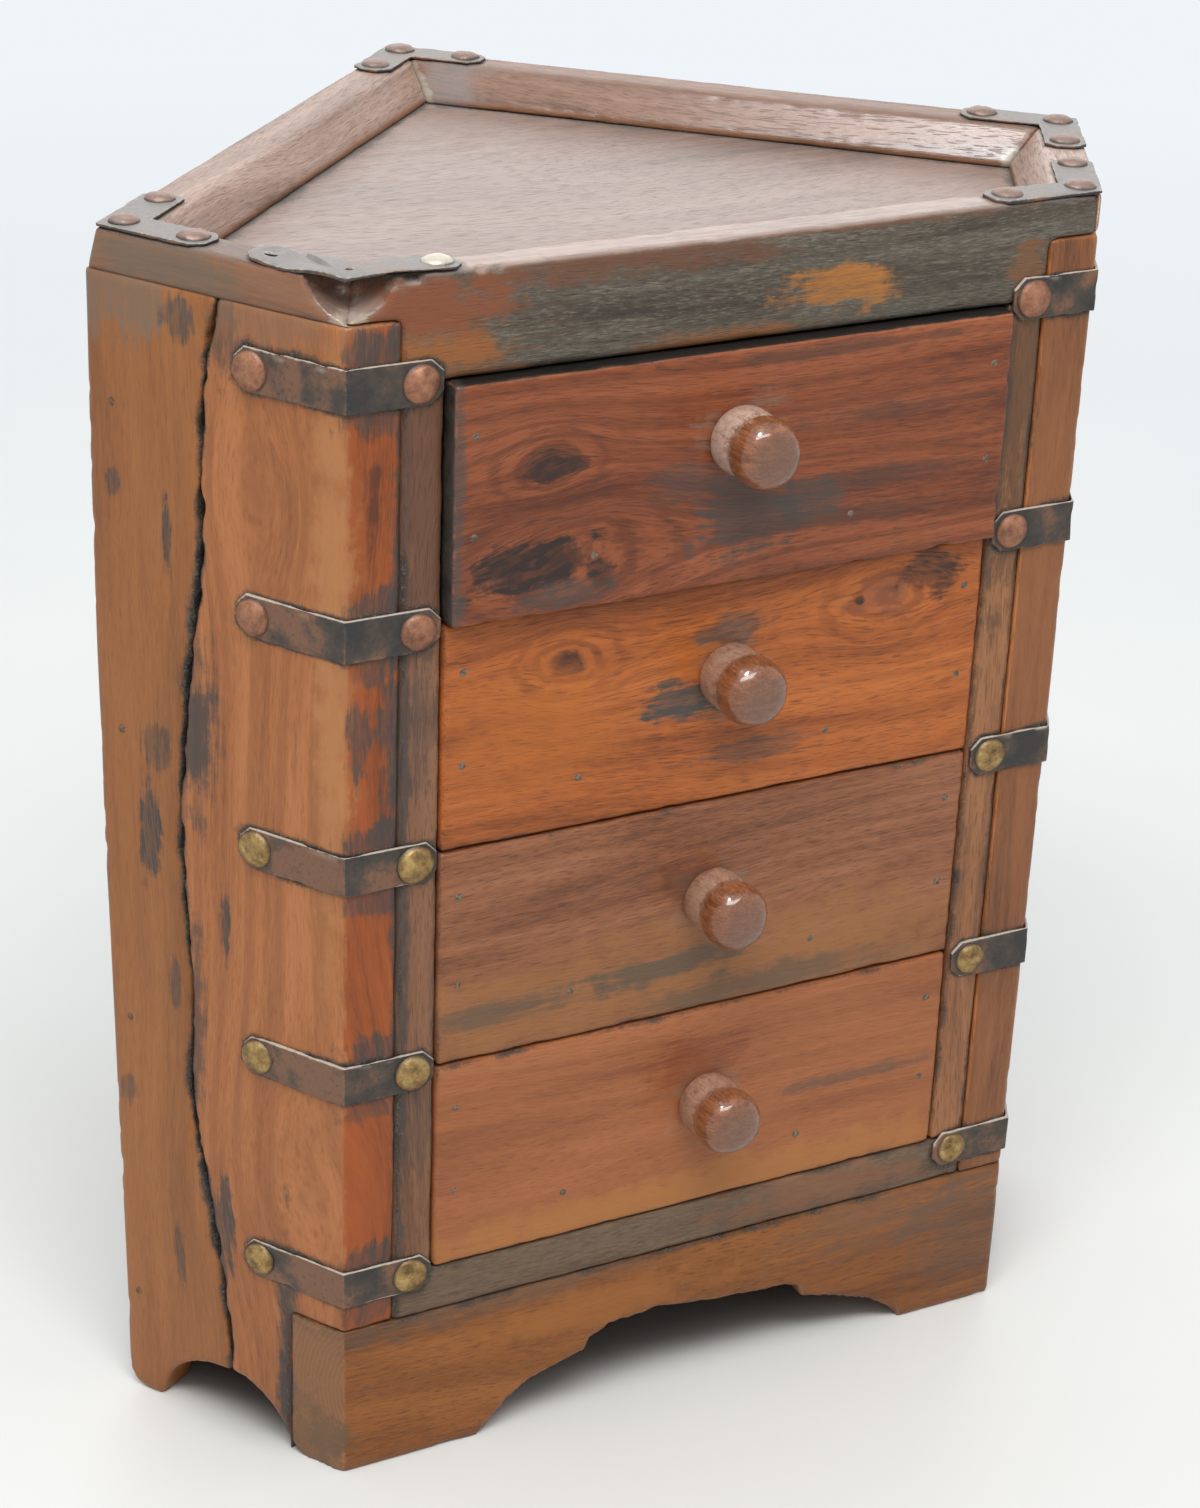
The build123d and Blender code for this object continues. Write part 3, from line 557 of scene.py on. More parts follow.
BOARD_VOXEL = 0.0012
SPOT_DEPTH = 0.004
STRIP_DEPTH = 0.006
FRAME_DEPTH = 0.02
DRAWER_DEPTH = 0.012
STAIN = (0.055, 0.045, 0.04)
REAR_TONE = (0.318, 0.117, 0.034)
FRONT_TONE = (0.385, 0.135, 0.042)
EDGE_TONE = (0.3, 0.07, 0.013)
RIGHT_EDGE_TONE = (0.24, 0.088, 0.032)
RETURN_STAINS = stains(
    on_return,
    None,
    (0.07, 0.34, 0.02, 0.011, (0.2, 0.135, 0.09), 0.7),
    (0.0528, 0.337, 0.005, 0.007, STAIN, 0.6),
    (0.0574, 0.276, 0.0014, 0.012, STAIN, 0.85),
    (0.0754, 0.288, 0.0022, 0.004, STAIN, 0.6),
    (0.0658, 0.187, 0.003, 0.016, STAIN, 0.85),
    (0.0632, 0.215, 0.0045, 0.006, STAIN, 0.6),
    (0.0588, 0.053, 0.0025, 0.01, STAIN, 0.6),
    (0.0757, 0.103, 0.004, 0.005, STAIN, 0.5),
    (0.058, 0.145, 0.0022, 0.009, STAIN, 0.6),
)
rear_wood = wood(
    "left_rear_board_wood",
    GRAIN_UP,
    REAR_TONE,
    1,
    lines=0.1,
    contrast=0.5,
    pores=0.15,
    patches=RETURN_STAINS,
)
SPLIT_STAINS = stains(
    on_return,
    None,
    (0.0495, 0.222, 0.0075, 0.024, STAIN, 0.9),
    (0.0515, 0.135, 0.004, 0.03, STAIN, 0.7),
    (0.0425, 0.066, 0.004, 0.016, STAIN, 0.75),
    (0.0403, 0.166, 0.0016, 0.011, STAIN, 0.8),
    (0.0373, 0.333, 0.004, 0.01, STAIN, 0.55),
    (0.025, 0.341, 0.03, 0.008, (0.22, 0.125, 0.075), 0.55),
    (0.02, 0.025, 0.004, 0.05, STAIN, 0.95),
    (0.004, 0.26, 0.007, 0.085, (0.47, 0.2, 0.07), 0.75),
)
SPLIT_STAINS += stains(on_front, STRIP_DEPTH, (-0.0958, 0.2, 0.0026, 0.15, STAIN, 0.85))
SPLIT_STAINS += stains(
    on_front,
    SPOT_DEPTH,
    (-0.0964, 0.28, 0.004, 0.03, STAIN, 0.85),
    (-0.1036, 0.305, 0.0025, 0.025, (0.07, 0.022, 0.012), 0.75),
    (-0.0975, 0.235, 0.004, 0.02, STAIN, 0.8),
    (-0.108, 0.234, 0.0035, 0.012, STAIN, 0.7),
)
STRAP_LEVELS = (0.0636, 0.13, 0.194, 0.261, 0.3275)
for level in STRAP_LEVELS:
    above = (-0.101, level + 0.008, 0.011, 0.006, STAIN, 0.75)
    below = (-0.103, level - 0.0085, 0.009, 0.0045, STAIN, 0.6)
    SPLIT_STAINS += stains(on_front, STRIP_DEPTH, above, below)
split_wood = wood(
    "left_front_board_wood",
    GRAIN_UP,
    FRONT_TONE,
    2,
    lines=0.6,
    ring_rate=600,
    contrast=0.75,
    pores=0.15,
    knots=[(on_return(0.0284, 0.293), 0.013, 0.15), (on_return(0.012, 0.088), 0.02, 0.15)],
    patches=SPLIT_STAINS,
    sides=[(FRONT_OUT, EDGE_TONE, 1.0)],
)
right_sides = [(FRONT_OUT, RIGHT_EDGE_TONE, 1.0)]
right_wood = wood("right_board_wood", GRAIN_UP, FRONT_TONE, 3, wear=0.3, sides=right_sides)
FOOT_RADIUS = 0.009
CLEAN_HEIGHT = 0.337
BOW_LOW = 0.0006
BOW_DEPTH = 0.0038
BOW_HEIGHT = 0.27
BOW_START = 0.05
BOW_SHAPE = 1.5
return_length = (rear_left - front_left).xy.length


def along_return(points):
    """How far back each point lies along the left return."""
    return (points[:, :2] - np.array(front_left.xy)) @ np.array(left_run)


def rounded_foot(points, length):
    """Round off a rear lower corner on the left return, which has worn on the floor."""
    back = along_return(points) - (length - FOOT_RADIUS)
    below = FOOT_RADIUS - points[:, 2]
    reach = np.hypot(back, below)
    outside = (back > 0) & (below > 0) & (reach > FOOT_RADIUS)
    pull = np.where(outside, 1 - FOOT_RADIUS / np.maximum(reach, MERGE_REACH), 0)
    rounded = points.copy()
    rounded[:, :2] -= np.array(left_run) * (back * pull)[:, None]
    rounded[:, 2] += below * pull
    return rounded


def leaning(points, lean):
    """Push the rear end of the left return out by a length for each point."""
    share = np.clip((along_return(points) - BOW_START) / (return_length - BOW_START), 0, 1)
    leaned = points.copy()
    leaned[:, :2] += np.array(left_run) * (lean * share**2)[:, None]
    return leaned


def bowed_board(points):
    """The rear board has dried and bowed: its rear edge leans out, most of all above the middle."""
    rise = np.clip(np.sin(math.pi / 2 * points[:, 2] / BOW_HEIGHT), 0, 1)
    return leaning(rounded_foot(points, return_length), BOW_LOW + BOW_DEPTH * rise**BOW_SHAPE)


for node, material, turn, seed, torn_from, shape in (
    ("left_front_side_board", split_wood, left_turn, 11, "left_rear_side_board", None),
    ("left_rear_side_board", rear_wood, left_turn, 12, "left_front_side_board", bowed_board),
    ("right_side_board", right_wood, -left_turn, 13, None, None),
):
    mesh = worn_mesh(
        node,
        BOARD_VOXEL,
        turn,
        seed,
        nick=0.0006,
        seam_nick=0.0006,
        clean_above=CLEAN_HEIGHT,
        torn_from=torn_from,
        shape=shape,
    )
    place_piece(f"{node}_worn", mesh, material, "case", "case_wood", node)

# Back boards: thin planks of the same wood, left rough because they stand against a wall. They are nailed
# between the side boards and meet at the rear corner.

BACK_VOXEL = 0.0022
BACK_TONE = (0.22, 0.105, 0.048)
back_wood = wood("back_board_wood", GRAIN_UP, BACK_TONE, 4, lines=0.25, wear=0.4)
for node, turn, seed in (("back_left_board", math.pi / 4, 21), ("back_right_board", -math.pi / 4, 22)):
    mesh = worn_mesh(node, BACK_VOXEL, turn, seed, wave=0.0003)
    place_piece(f"{node}_worn", mesh, back_wood, "case", "case_wood", node)

# Front frame: two rails, two stiles and an apron of the same wood, flush with the edges of the side boards.
# The top rail carries the front length of the rim and is broken at its left end. The arch was sawn by hand.

FRAME_VOXEL = 0.0011
GREY = (0.085, 0.07, 0.05)
ORANGE = (0.31, 0.105, 0.024)
STILE_TONE = (0.225, 0.1, 0.048)
RAIL_TONE = (0.15, 0.092, 0.05)
TOP_TONE = (0.098, 0.08, 0.056)
APRON_TONE = (0.25, 0.08, 0.014)
RIGHT_STILE_TONE = (0.33, 0.138, 0.055)
STILE_STAINS = stains(on_front, STRIP_DEPTH, (-0.0948, 0.2, 0.0022, 0.15, STAIN, 0.8))
STILE_STAINS += stains(
    on_front,
    FRAME_DEPTH,
    (-0.09, 0.3, 0.02, 0.07, (0.12, 0.052, 0.03), 0.7),
    (0.0895, 0.3, 0.02, 0.06, (0.12, 0.055, 0.025), 0.85),
)
STILE_STAINS += stains(
    on_front,
    STRIP_DEPTH,
    (-0.09, 0.235, 0.006, 0.02, STAIN, 0.4),
    (-0.09, 0.116, 0.006, 0.016, STAIN, 0.35),
    (0.0855, 0.29, 0.002, 0.06, STAIN, 0.6),
)
stile_look = {"lines": 0.2, "wear": 0.3, "patches": STILE_STAINS}
left_stile_wood = wood("left_stile_wood", GRAIN_UP, STILE_TONE, 5, contrast=0.7, **stile_look)
right_stile_wood = wood("right_stile_wood", GRAIN_UP, RIGHT_STILE_TONE, 17, contrast=0.8, **stile_look)
bottom_rail_wood = wood(
    "bottom_rail_wood",
    GRAIN_ACROSS,
    RAIL_TONE,
    6,
    wear=0.3,
    flecks=0.25,
    patches=stains(on_front, FRAME_DEPTH, (0.045, 0.057, 0.04, 0.008, (0.26, 0.1, 0.045), 0.6)),
)
APRON_STAINS = stains(
    on_front,
    FRAME_DEPTH,
    (-0.075, 0.047, 0.055, 0.006, GREY, 0.5),
    (-0.03, 0.035, 0.05, 0.008, (0.36, 0.125, 0.025), 0.7),
    (0.07, 0.04, 0.04, 0.012, (0.17, 0.085, 0.047), 0.55),
    (0.1, 0.03, 0.022, 0.03, (0.11, 0.07, 0.05), 0.45),
)
APRON_STAINS += stains(
    on_return,
    None,
    (0.012, 0.0, 0.014, 0.02, (0.15, 0.085, 0.04), 0.6),
    (0.005, 0.01, 0.006, 0.009, (0.12, 0.075, 0.04), 0.4),
    (0.0195, 0.025, 0.0018, 0.026, STAIN, 0.7),
)
end_grain = [(RETURN_OUT, on_return(-0.02, 0.028), (0.27, 0.12, 0.05))]
apron_wood = wood(
    "apron_wood", GRAIN_ACROSS, APRON_TONE, 7, wear=0.35, patches=APRON_STAINS, ends=end_grain
)
broken_corner = Vector((front_left.x + 0.003, front_y, 0.352))
BROKEN_REACH = (0.007, 0.007, 0.009)
BROKEN_TONE = (0.2, 0.11, 0.066)
crumbs = Vector((front_left.x + 0.001, front_y, 0.344))
CRUMB_REACH = (0.005, 0.005, 0.005)
CRUMB_TONE = (0.4, 0.31, 0.23)
BROKEN_STAINS = [(broken_corner, BROKEN_REACH, BROKEN_TONE, 0.9), (crumbs, CRUMB_REACH, CRUMB_TONE, 0.8)]
EDGE_DEPTH = 0.012
EDGE_BAND = (0.15, 0.06, 0.03)
RAIL_STAINS = stains(
    on_front,
    FRAME_DEPTH,
    (-0.09, 0.334, 0.03, 0.007, ORANGE, 0.9),
    (0.03, 0.338, 0.017, 0.0055, (0.4, 0.155, 0.034), 0.85),
    (0.0, 0.3285, 0.03, 0.003, ORANGE, 0.6),
)
RAIL_STAINS += stains(
    on_front,
    EDGE_DEPTH,
    (-0.035, 0.352, 0.05, 0.0045, EDGE_BAND, 0.8),
    (0.03, 0.3545, 0.06, 0.002, EDGE_BAND, 0.7),
)
RAIL_STAINS += stains(
    on_front,
    FRAME_DEPTH,
    (-0.092, 0.347, 0.03, 0.009, (0.23, 0.07, 0.028), 0.95),
    (0.09, 0.337, 0.007, 0.006, (0.19, 0.085, 0.035), 0.85),
    (0.104, 0.338, 0.009, 0.006, (0.28, 0.11, 0.04), 0.8),
)
top_rail_wood = wood(
    "top_rail_wood",
    GRAIN_ACROSS,
    TOP_TONE,
    8,
    lines=0.15,
    wear=0.5,
    flecks=0.6,
    patches=RAIL_STAINS + BROKEN_STAINS,
    sides=[(UP, (0.31, 0.17, 0.112), 1.0)],
    dust=0.6,
)
# The saw line of the arch, as places across the front and heights
SAW_LINE = [
    (-0.0677, 0.0),
    (-0.0645, 0.003),
    (-0.0597, 0.0087),
    (-0.0516, 0.0145),
    (-0.0418, 0.0177),
    (-0.0335, 0.0199),
    (-0.0319, 0.0226),
    (-0.0254, 0.0268),
    (-0.0085, 0.028),
    (0.021, 0.0243),
    (0.036, 0.0237),
    (0.041, 0.0215),
    (0.042, 0.018),
    (0.0557, 0.0138),
    (0.0669, 0.0098),
    (0.0747, 0.0046),
    (0.0788, 0.0),
]
SAW_FADE = 0.012
apron_end = max(along_return(read_vectors(nodes["front_apron"].data.vertices)))


def sawn_arch(points):
    """Move the clean arch of the apron to the line that the saw really took."""
    columns = np.round(points[:, 0] / FRAME_VOXEL).astype(int)
    columns -= columns.min()
    edge = np.full(columns.max() + 1, FAR_AWAY)
    np.minimum.at(edge, columns, points[:, 2])
    above = points[:, 2] - edge[columns]
    across, heights = np.array(SAW_LINE).T
    wanted = np.interp(points[:, 0], across, heights, left=0, right=0)
    inside = (points[:, 0] > across[0]) & (points[:, 0] < across[-1])
    shift = np.where(inside, wanted - edge[columns], 0) * np.exp(-((above / SAW_FADE) ** 2))
    sawn = points + np.stack([0 * shift, 0 * shift, shift], axis=1)
    return rounded_foot(sawn, apron_end)


MITRE_PRESS = 0.0006
MITRE_REACH = 0.0009
mitre_run = (left_run + Vector((1, 0))).normalized()
MITRE_ACROSS = np.array((-mitre_run.y, mitre_run.x))


def tight_mitre(points, way=1):
    """Press the end of the top rail, or of the left rim, tight against the other in their mitre."""
    off = (points[:, :2] - np.array(front_left.xy)) @ MITRE_ACROSS
    pressed = points.copy()
    pressed[:, :2] += MITRE_ACROSS * (way * MITRE_PRESS * np.exp(-((off / MITRE_REACH) ** 2)))[:, None]
    return pressed


# Chips along the top edge beside the broken corner: across, outwards, height and radius
CHIPS = []
for across, out, height, radius in (
    (0.012, 0.003, 0.3575, 0.0065),
    (0.019, 0.003, 0.358, 0.006),
    (0.027, 0.002, 0.3575, 0.0042),
    (0.0365, 0.0005, 0.3565, 0.003),
    (0.0405, 0.001, 0.3565, 0.0035),
    (0.046, 0.001, 0.357, 0.003),
    (0.056, 0.001, 0.357, 0.0028),
):
    CHIPS.append((Vector((front_left.x + across, front_y - out, height)), radius))
for node, material, seed, bites, shape in (
    ("front_apron", apron_wood, 31, (), sawn_arch),
    ("front_bottom_rail", bottom_rail_wood, 32, (), None),
    ("left_stile", left_stile_wood, 33, (), None),
    ("right_stile", right_stile_wood, 34, (), None),
    ("front_top_rail", top_rail_wood, 35, CHIPS, tight_mitre),
):
    mesh = worn_mesh(node, FRAME_VOXEL, 0, seed, clean_above=CLEAN_HEIGHT, bites=bites, shape=shape)
    place_piece(f"{node}_worn", mesh, material, "case", "case_wood", node)

# Tray top: a panel let in between the boards, and four lengths of rim with a planed bevel, mitred at the
# corners and held there by iron straps. Wax and years of dust give the top a pale pink sheen.

RIM_VOXEL = 0.0011
PANEL_VOXEL = 0.0018
TRAY_TONE = (0.21, 0.115, 0.078)
RIM_SIDE_TONE = (0.25, 0.115, 0.06)
MITRE_COLOUR = (0.4, 0.35, 0.28)
DUSTY_TONE = (0.32, 0.205, 0.16)
MITRE_DUST = [
    (Vector((0.008, 0.093, 0.349)), (0.011, 0.011, 0.021), (0.24, 0.21, 0.2), 0.7),
    (Vector((0, 0.097, 0.348)), (0.0015, 0.008, 0.01), MITRE_COLOUR, 0.8),
    (Vector((0.127, -0.032, 0.346)), (0.004, 0.0025, 0.006), MITRE_COLOUR, 0.6),
    (Vector((0.112, -0.064, 0.346)), (0.005, 0.003, 0.005), MITRE_COLOUR, 0.5),
]
GREY_STAIN = stains(on_return, None, (0.06, 0.35, 0.03, 0.012, (0.16, 0.12, 0.085), 0.7))
panel_wood = wood(
    "tray_panel_wood",
    GRAIN_ACROSS,
    TRAY_TONE,
    9,
    lines=0.4,
    contrast=0.9,
    dust=0.3,
    patches=[
        *MITRE_DUST,
        (Vector((0, 0.075, 0.344)), (0.05, 0.03, 0.02), DUSTY_TONE, 0.5),
        (Vector((0.1, -0.03, 0.344)), (0.03, 0.025, 0.02), DUSTY_TONE, 0.5),
    ],
)
RIMS = (
    ("rim_left", left_turn, 42, (0.2, 0.105, 0.07)),
    ("rim_right", -left_turn, 43, (0.52, 0.36, 0.28)),
    ("rim_back_left", math.pi / 4, 44, (0.345, 0.21, 0.148)),
    ("rim_back_right", -math.pi / 4, 45, (0.235, 0.115, 0.068)),
)
GLOSSY_BEVEL = (-0.552, -0.552, 0.625)
DIAGONAL = math.sqrt(0.5)
RIM_OUT = [
    RETURN_OUT,
    (-RETURN_OUT[0], RETURN_OUT[1], 0),
    (-DIAGONAL, DIAGONAL, 0),
    (DIAGONAL, DIAGONAL, 0),
]
FLARE_LOW = 0.0042
FLARE_HIGH = 0.0008
FOOT_SHARE = 0.1
rim_low, rim_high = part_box("rim_left")


def flared_rim(points):
    """The left rim sits tight on the bowed board, follows it outwards and runs in under the strap."""
    rise = np.clip((points[:, 2] - rim_low.z) / (rim_high.z - rim_low.z), 0, 1)
    flared = leaning(tight_mitre(points, -1), FLARE_LOW + (FLARE_HIGH - FLARE_LOW) * rise)
    flared[:, 2] -= MITRE_PRESS * np.exp(-((rise / FOOT_SHARE) ** 2))
    return flared


rim_tree = face_tree([row[0] for row in RIMS])[0]
panel = worn_mesh("top_panel", PANEL_VOXEL, 0, 41, dirty_tree=rim_tree, dirty_width=0.0036)
place_piece("top_panel_worn", panel, panel_wood, "case", "tray_wood", "top_panel")
for node, turn, seed, tone in RIMS:
    material = wood(
        f"{node}_wood",
        (0, 0, -turn),
        tone,
        seed,
        lines=0.4,
        contrast=1.3,
        wear=0.12,
        bump=0.00009,
        dust=0.2,
        glossy=[(GLOSSY_BEVEL, 0.15), (UP, -0.15)],
        sides=[(direction, RIM_SIDE_TONE, 1.0) for direction in RIM_OUT],
        patches=BROKEN_STAINS + GREY_STAIN + MITRE_DUST,
    )
    shape = flared_rim if node == "rim_left" else None
    mesh = worn_mesh(
        node,
        RIM_VOXEL,
        turn,
        seed,
        nick=0.00035,
        seam_nick=0.0002,
        clean_above=0,
        dirty_width=0.0009,
        shape=shape,
    )
    place_piece(f"{node}_worn", mesh, material, "case", "tray_wood", node)

# Shelves and guide strips: plain unfinished boards inside the case, which the drawers run on. The shelves
# fit between the outer boards, and two strips on each keep its drawer straight.

INNER_TONE = (0.3, 0.17, 0.085)
inner_wood = wood("inner_wood", GRAIN_ACROSS, INNER_TONE, 10, lines=0.2, soot=0.5, wear=0.2)
for node in (
    "upper_shelf",
    "middle_shelf",
    "lower_shelf",
    "bottom_shelf",
    "left_drawer_guides",
    "right_drawer_guides",
):
    nodes[node].data.materials.clear()
    nodes[node].data.materials.append(inner_wood)

# Drawers: the four fronts were cut from different boards, so each has its own colour, knots and stains.
# They are waxed, and dark with handling. Nailed to each front is a box of thin unfinished boards.

DRAWER_VOXEL = 0.001
SMUDGE = (0.07, 0.058, 0.05)
KNOT_DARK = (0.03, 0.016, 0.012)
# Near black: painted shade for the gap round the first drawer, which stands a little open
PAINTED_GAP_SHADE = (0.014, 0.011, 0.009)
KNOB_DUST = (0.3, 0.24, 0.19)
KNOB_DUST_REACH = (0.012, 0.02, 0.012)
BAND_DARK = (0.09, 0.04, 0.026)
top_front_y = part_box("drawer_1_front")[0].y


def on_top_drawer(across, height):
    """Point on the face of the top drawer, which stands a little open."""
    return Vector((across, top_front_y, height))


def drawer_marks(number, plane, *rows):
    """Pale dust that has settled round the foot of a knob, and the marks on that drawer's front. Most are
    stains; a few rows paint the knob's shadow and its dark reflection in the wax.
    """
    low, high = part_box(f"drawer_{number}_knob")
    dust = ((low + high) / 2, KNOB_DUST_REACH, KNOB_DUST, 0.3)
    return [dust, *stains(plane, DRAWER_DEPTH, *rows)]


drawer_woods = {
    1: wood(
        "drawer_1_wood",
        GRAIN_ACROSS,
        (0.25, 0.066, 0.022),
        51,
        lines=0.6,
        ring_rate=1500,
        contrast=1.2,
        wear=0.3,
        # The left side and the top of this front stand out of the case and are painted near black: painted
        # shade of the gap.
        sides=[((-1, 0, 0), PAINTED_GAP_SHADE, 1.0), (UP, PAINTED_GAP_SHADE, 1.0)],
        knots=[(on_top_drawer(-0.0566, 0.302), 0.008, 0.6), (on_top_drawer(-0.05, 0.276), 0.016, 0.6)],
        patches=drawer_marks(
            1,
            on_top_drawer,
            (-0.0566, 0.302, 0.009, 0.0045, KNOT_DARK, 0.75),
            (-0.062, 0.275, 0.018, 0.0075, KNOT_DARK, 0.95),
            (-0.041, 0.271, 0.004, 0.006, KNOT_DARK, 0.85),
            (-0.05, 0.2665, 0.014, 0.004, SMUDGE, 0.6),
            (0.004, 0.28, 0.016, 0.012, SMUDGE, 0.8),
            (-0.015, 0.292, 0.014, 0.008, SMUDGE, 0.5),
            (0.041, 0.286, 0.034, 0.0035, BAND_DARK, 0.7),
            (0.03, 0.276, 0.03, 0.0035, BAND_DARK, 0.6),
            (0.045, 0.304, 0.034, 0.003, BAND_DARK, 0.55),
            (0.026, 0.323, 0.04, 0.0025, BAND_DARK, 0.6),
            (0.02, 0.283, 0.012, 0.006, SMUDGE, 0.6),
            (-0.0825, 0.293, 0.0025, 0.05, SMUDGE, 0.7),
        ),
    ),
    2: wood(
        "drawer_2_wood",
        GRAIN_ACROSS,
        (0.41, 0.108, 0.02),
        52,
        lines=0.35,
        ring_rate=1400,
        knots=[(on_front(-0.0465, 0.245), 0.008, 0.6), (on_front(0.053, 0.248), 0.01, 0.6)],
        patches=drawer_marks(
            2,
            on_front,
            (-0.0465, 0.2445, 0.005, 0.004, KNOT_DARK, 0.7),
            (0.053, 0.248, 0.012, 0.007, (0.22, 0.07, 0.035), 0.7),
            (0.0645, 0.252, 0.01, 0.0065, KNOT_DARK, 0.75),
            (0.0435, 0.248, 0.0018, 0.0016, KNOT_DARK, 0.9),
            (-0.055, 0.225, 0.03, 0.02, (0.5, 0.14, 0.018), 0.5),
            # Dark smudge left of the knob: dirt, and painted shadow of the knob.
            (-0.011, 0.2275, 0.015, 0.007, SMUDGE, 0.95),
            (0.003, 0.246, 0.012, 0.004, SMUDGE, 0.6),
            (0.012, 0.209, 0.02, 0.004, SMUDGE, 0.45),
        ),
    ),
    3: wood(
        "drawer_3_wood",
        GRAIN_ACROSS,
        (0.275, 0.1, 0.042),
        53,
        lines=0.3,
        ring_rate=1800,
        patches=drawer_marks(
            3,
            on_front,
            (0.0, 0.141, 0.14, 0.019, (0.33, 0.135, 0.042), 0.75),
            (-0.012, 0.1455, 0.03, 0.005, GREY, 0.75),
            (-0.06, 0.1425, 0.03, 0.0045, GREY, 0.65),
            (0.02, 0.134, 0.05, 0.005, GREY, 0.6),
            # Reddish dark patch up and left of the knob: a painted reflection of the knob in the waxed
            # front.
            (-0.005, 0.17, 0.012, 0.007, (0.14, 0.045, 0.025), 0.5),
        ),
    ),
    4: wood(
        "drawer_4_wood",
        GRAIN_ACROSS,
        (0.355, 0.117, 0.04),
        54,
        lines=0.25,
        ring_rate=1100,
        contrast=0.55,
        pores=0.2,
        patches=drawer_marks(
            4,
            on_front,
            (0.0, 0.068, 0.14, 0.0085, (0.42, 0.165, 0.042), 0.8),
            # Reddish dark patch above the knob: a painted reflection of the knob in the waxed front.
            (0.0, 0.1115, 0.016, 0.008, (0.2, 0.05, 0.022), 0.5),
            (0.053, 0.094, 0.03, 0.0025, SMUDGE, 0.5),
        ),
    ),
}
box_wood = wood("drawer_box_wood", GRAIN_ACROSS, INNER_TONE, 15, lines=0.25, soot=0.7, wear=0.3)
side_wood = wood("drawer_side_wood", GRAIN_BACK, INNER_TONE, 16, lines=0.25, soot=0.7, wear=0.3)
BOX_VOXEL = 0.0016
for number in (1, 2, 3, 4):
    body = f"drawer_{number}"
    front = f"drawer_{number}_front"
    mesh = worn_mesh(front, DRAWER_VOXEL, 0, 60 + number, seam_width=0.0009)
    place_piece(f"{front}_worn", mesh, drawer_woods[number], body, "drawer_front_wood", front)
    for part in ("left_side", "right_side", "bottom", "back"):
        node = f"drawer_{number}_{part}"
        mesh = worn_mesh(node, BOX_VOXEL, 0, 70 + number)
        material = side_wood if "side" in part else box_wood
        place_piece(f"{node}_worn", mesh, material, body, "inner_wood", node)

# Knobs: turned from one piece of dark red hardwood with a collar, a groove and a round head, and glued into
# the drawer fronts. Hands have polished the heads, and dust sits on the collars.

KNOB_SIDES = 72
KNOB_TENON = 0.012
KNOB_SINK = 0.001
COLLAR_RADIUS = 0.0095
COLLAR_LENGTH = 0.0082
GROOVE_RADIUS = 0.0084
GROOVE_WIDTH = 0.0016
HEAD_RADIUS = 0.0097
HEAD_BACK = 0.0031
HEAD_FRONT = 0.0078
HEAD_STEPS = 9
HEAD_BULGE = (0.8, 0.65)
COLLAR_EASE = 0.97
COLLAR_DUST_START = 1.9
COLLAR_DUST_REACH = 0.0085
KNOB_LUMPS = (0.008, 0.0025)
TOP_KNOB = (0.27, 0.28)


def knob_outline():
    """Collar, groove and round head, as pairs of distance from the drawer's face and radius."""
    outline = [(-KNOB_SINK, 0), (-KNOB_SINK, COLLAR_RADIUS), (COLLAR_LENGTH / 2, COLLAR_RADIUS)]
    outline.append((COLLAR_EASE * COLLAR_LENGTH, COLLAR_EASE * COLLAR_RADIUS))
    outline.append((COLLAR_LENGTH + GROOVE_WIDTH / 2, GROOVE_RADIUS))
    waist = COLLAR_LENGTH + GROOVE_WIDTH + HEAD_BACK
    for step in range(HEAD_STEPS // 3):
        turn = math.pi / 2 * (1 + step) / (HEAD_STEPS // 3)
        swell = GROOVE_RADIUS + (HEAD_RADIUS - GROOVE_RADIUS) * math.sin(turn)
        outline.append((waist - HEAD_BACK * math.cos(turn), swell))
    for step in range(1, HEAD_STEPS + 1):
        turn = math.pi / 2 * step / HEAD_STEPS
        out = waist + HEAD_FRONT * math.sin(turn) ** HEAD_BULGE[0]
        outline.append((out, HEAD_RADIUS * max(math.cos(turn), 0) ** HEAD_BULGE[1]))
    return outline


def knob_mesh(node, seed):
    """Turned knob about the axis of its CAD node, a little out of round."""
    low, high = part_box(node)
    centre = (low + high) / 2
    face = high.y - KNOB_TENON
    bm = bmesh.new()
    line = [bm.verts.new((radius, -out, 0)) for out, radius in knob_outline()]
    edges = [bm.edges.new(pair) for pair in zip(line, line[1:])]
    bmesh.ops.spin(
        bm,
        geom=line + edges,
        cent=(0, 0, 0),
        axis=(0, 1, 0),
        angle=2 * math.pi,
        steps=KNOB_SIDES,
        use_merge=True,
    )
    bmesh.ops.remove_doubles(bm, verts=bm.verts, dist=MERGE_REACH)
    bmesh.ops.recalc_face_normals(bm, faces=bm.faces)
    mesh = bpy.data.meshes.new(node)
    bm.to_mesh(mesh)
    bm.free()
    made = add_object(f"{node}_blank", mesh)
    finer = made.modifiers.new("round", "SUBSURF")
    finer.levels = 1
    finer.render_levels = 1
    mesh = baked_mesh(made)
    points = read_vectors(mesh.vertices)
    dust = np.clip(COLLAR_DUST_START + points[:, 1] / COLLAR_DUST_REACH, 0, 1)
    set_attribute(mesh, "collar", dust)
    swell = 1 + 0.015 * lumps(points, KNOB_LUMPS[0], seed) + 0.006 * lumps(points, KNOB_LUMPS[1], seed + 1)
    points *= swell[:, None]
    points += np.array((centre.x, face, centre.z))
    move_vertices(mesh, points)
    return mesh


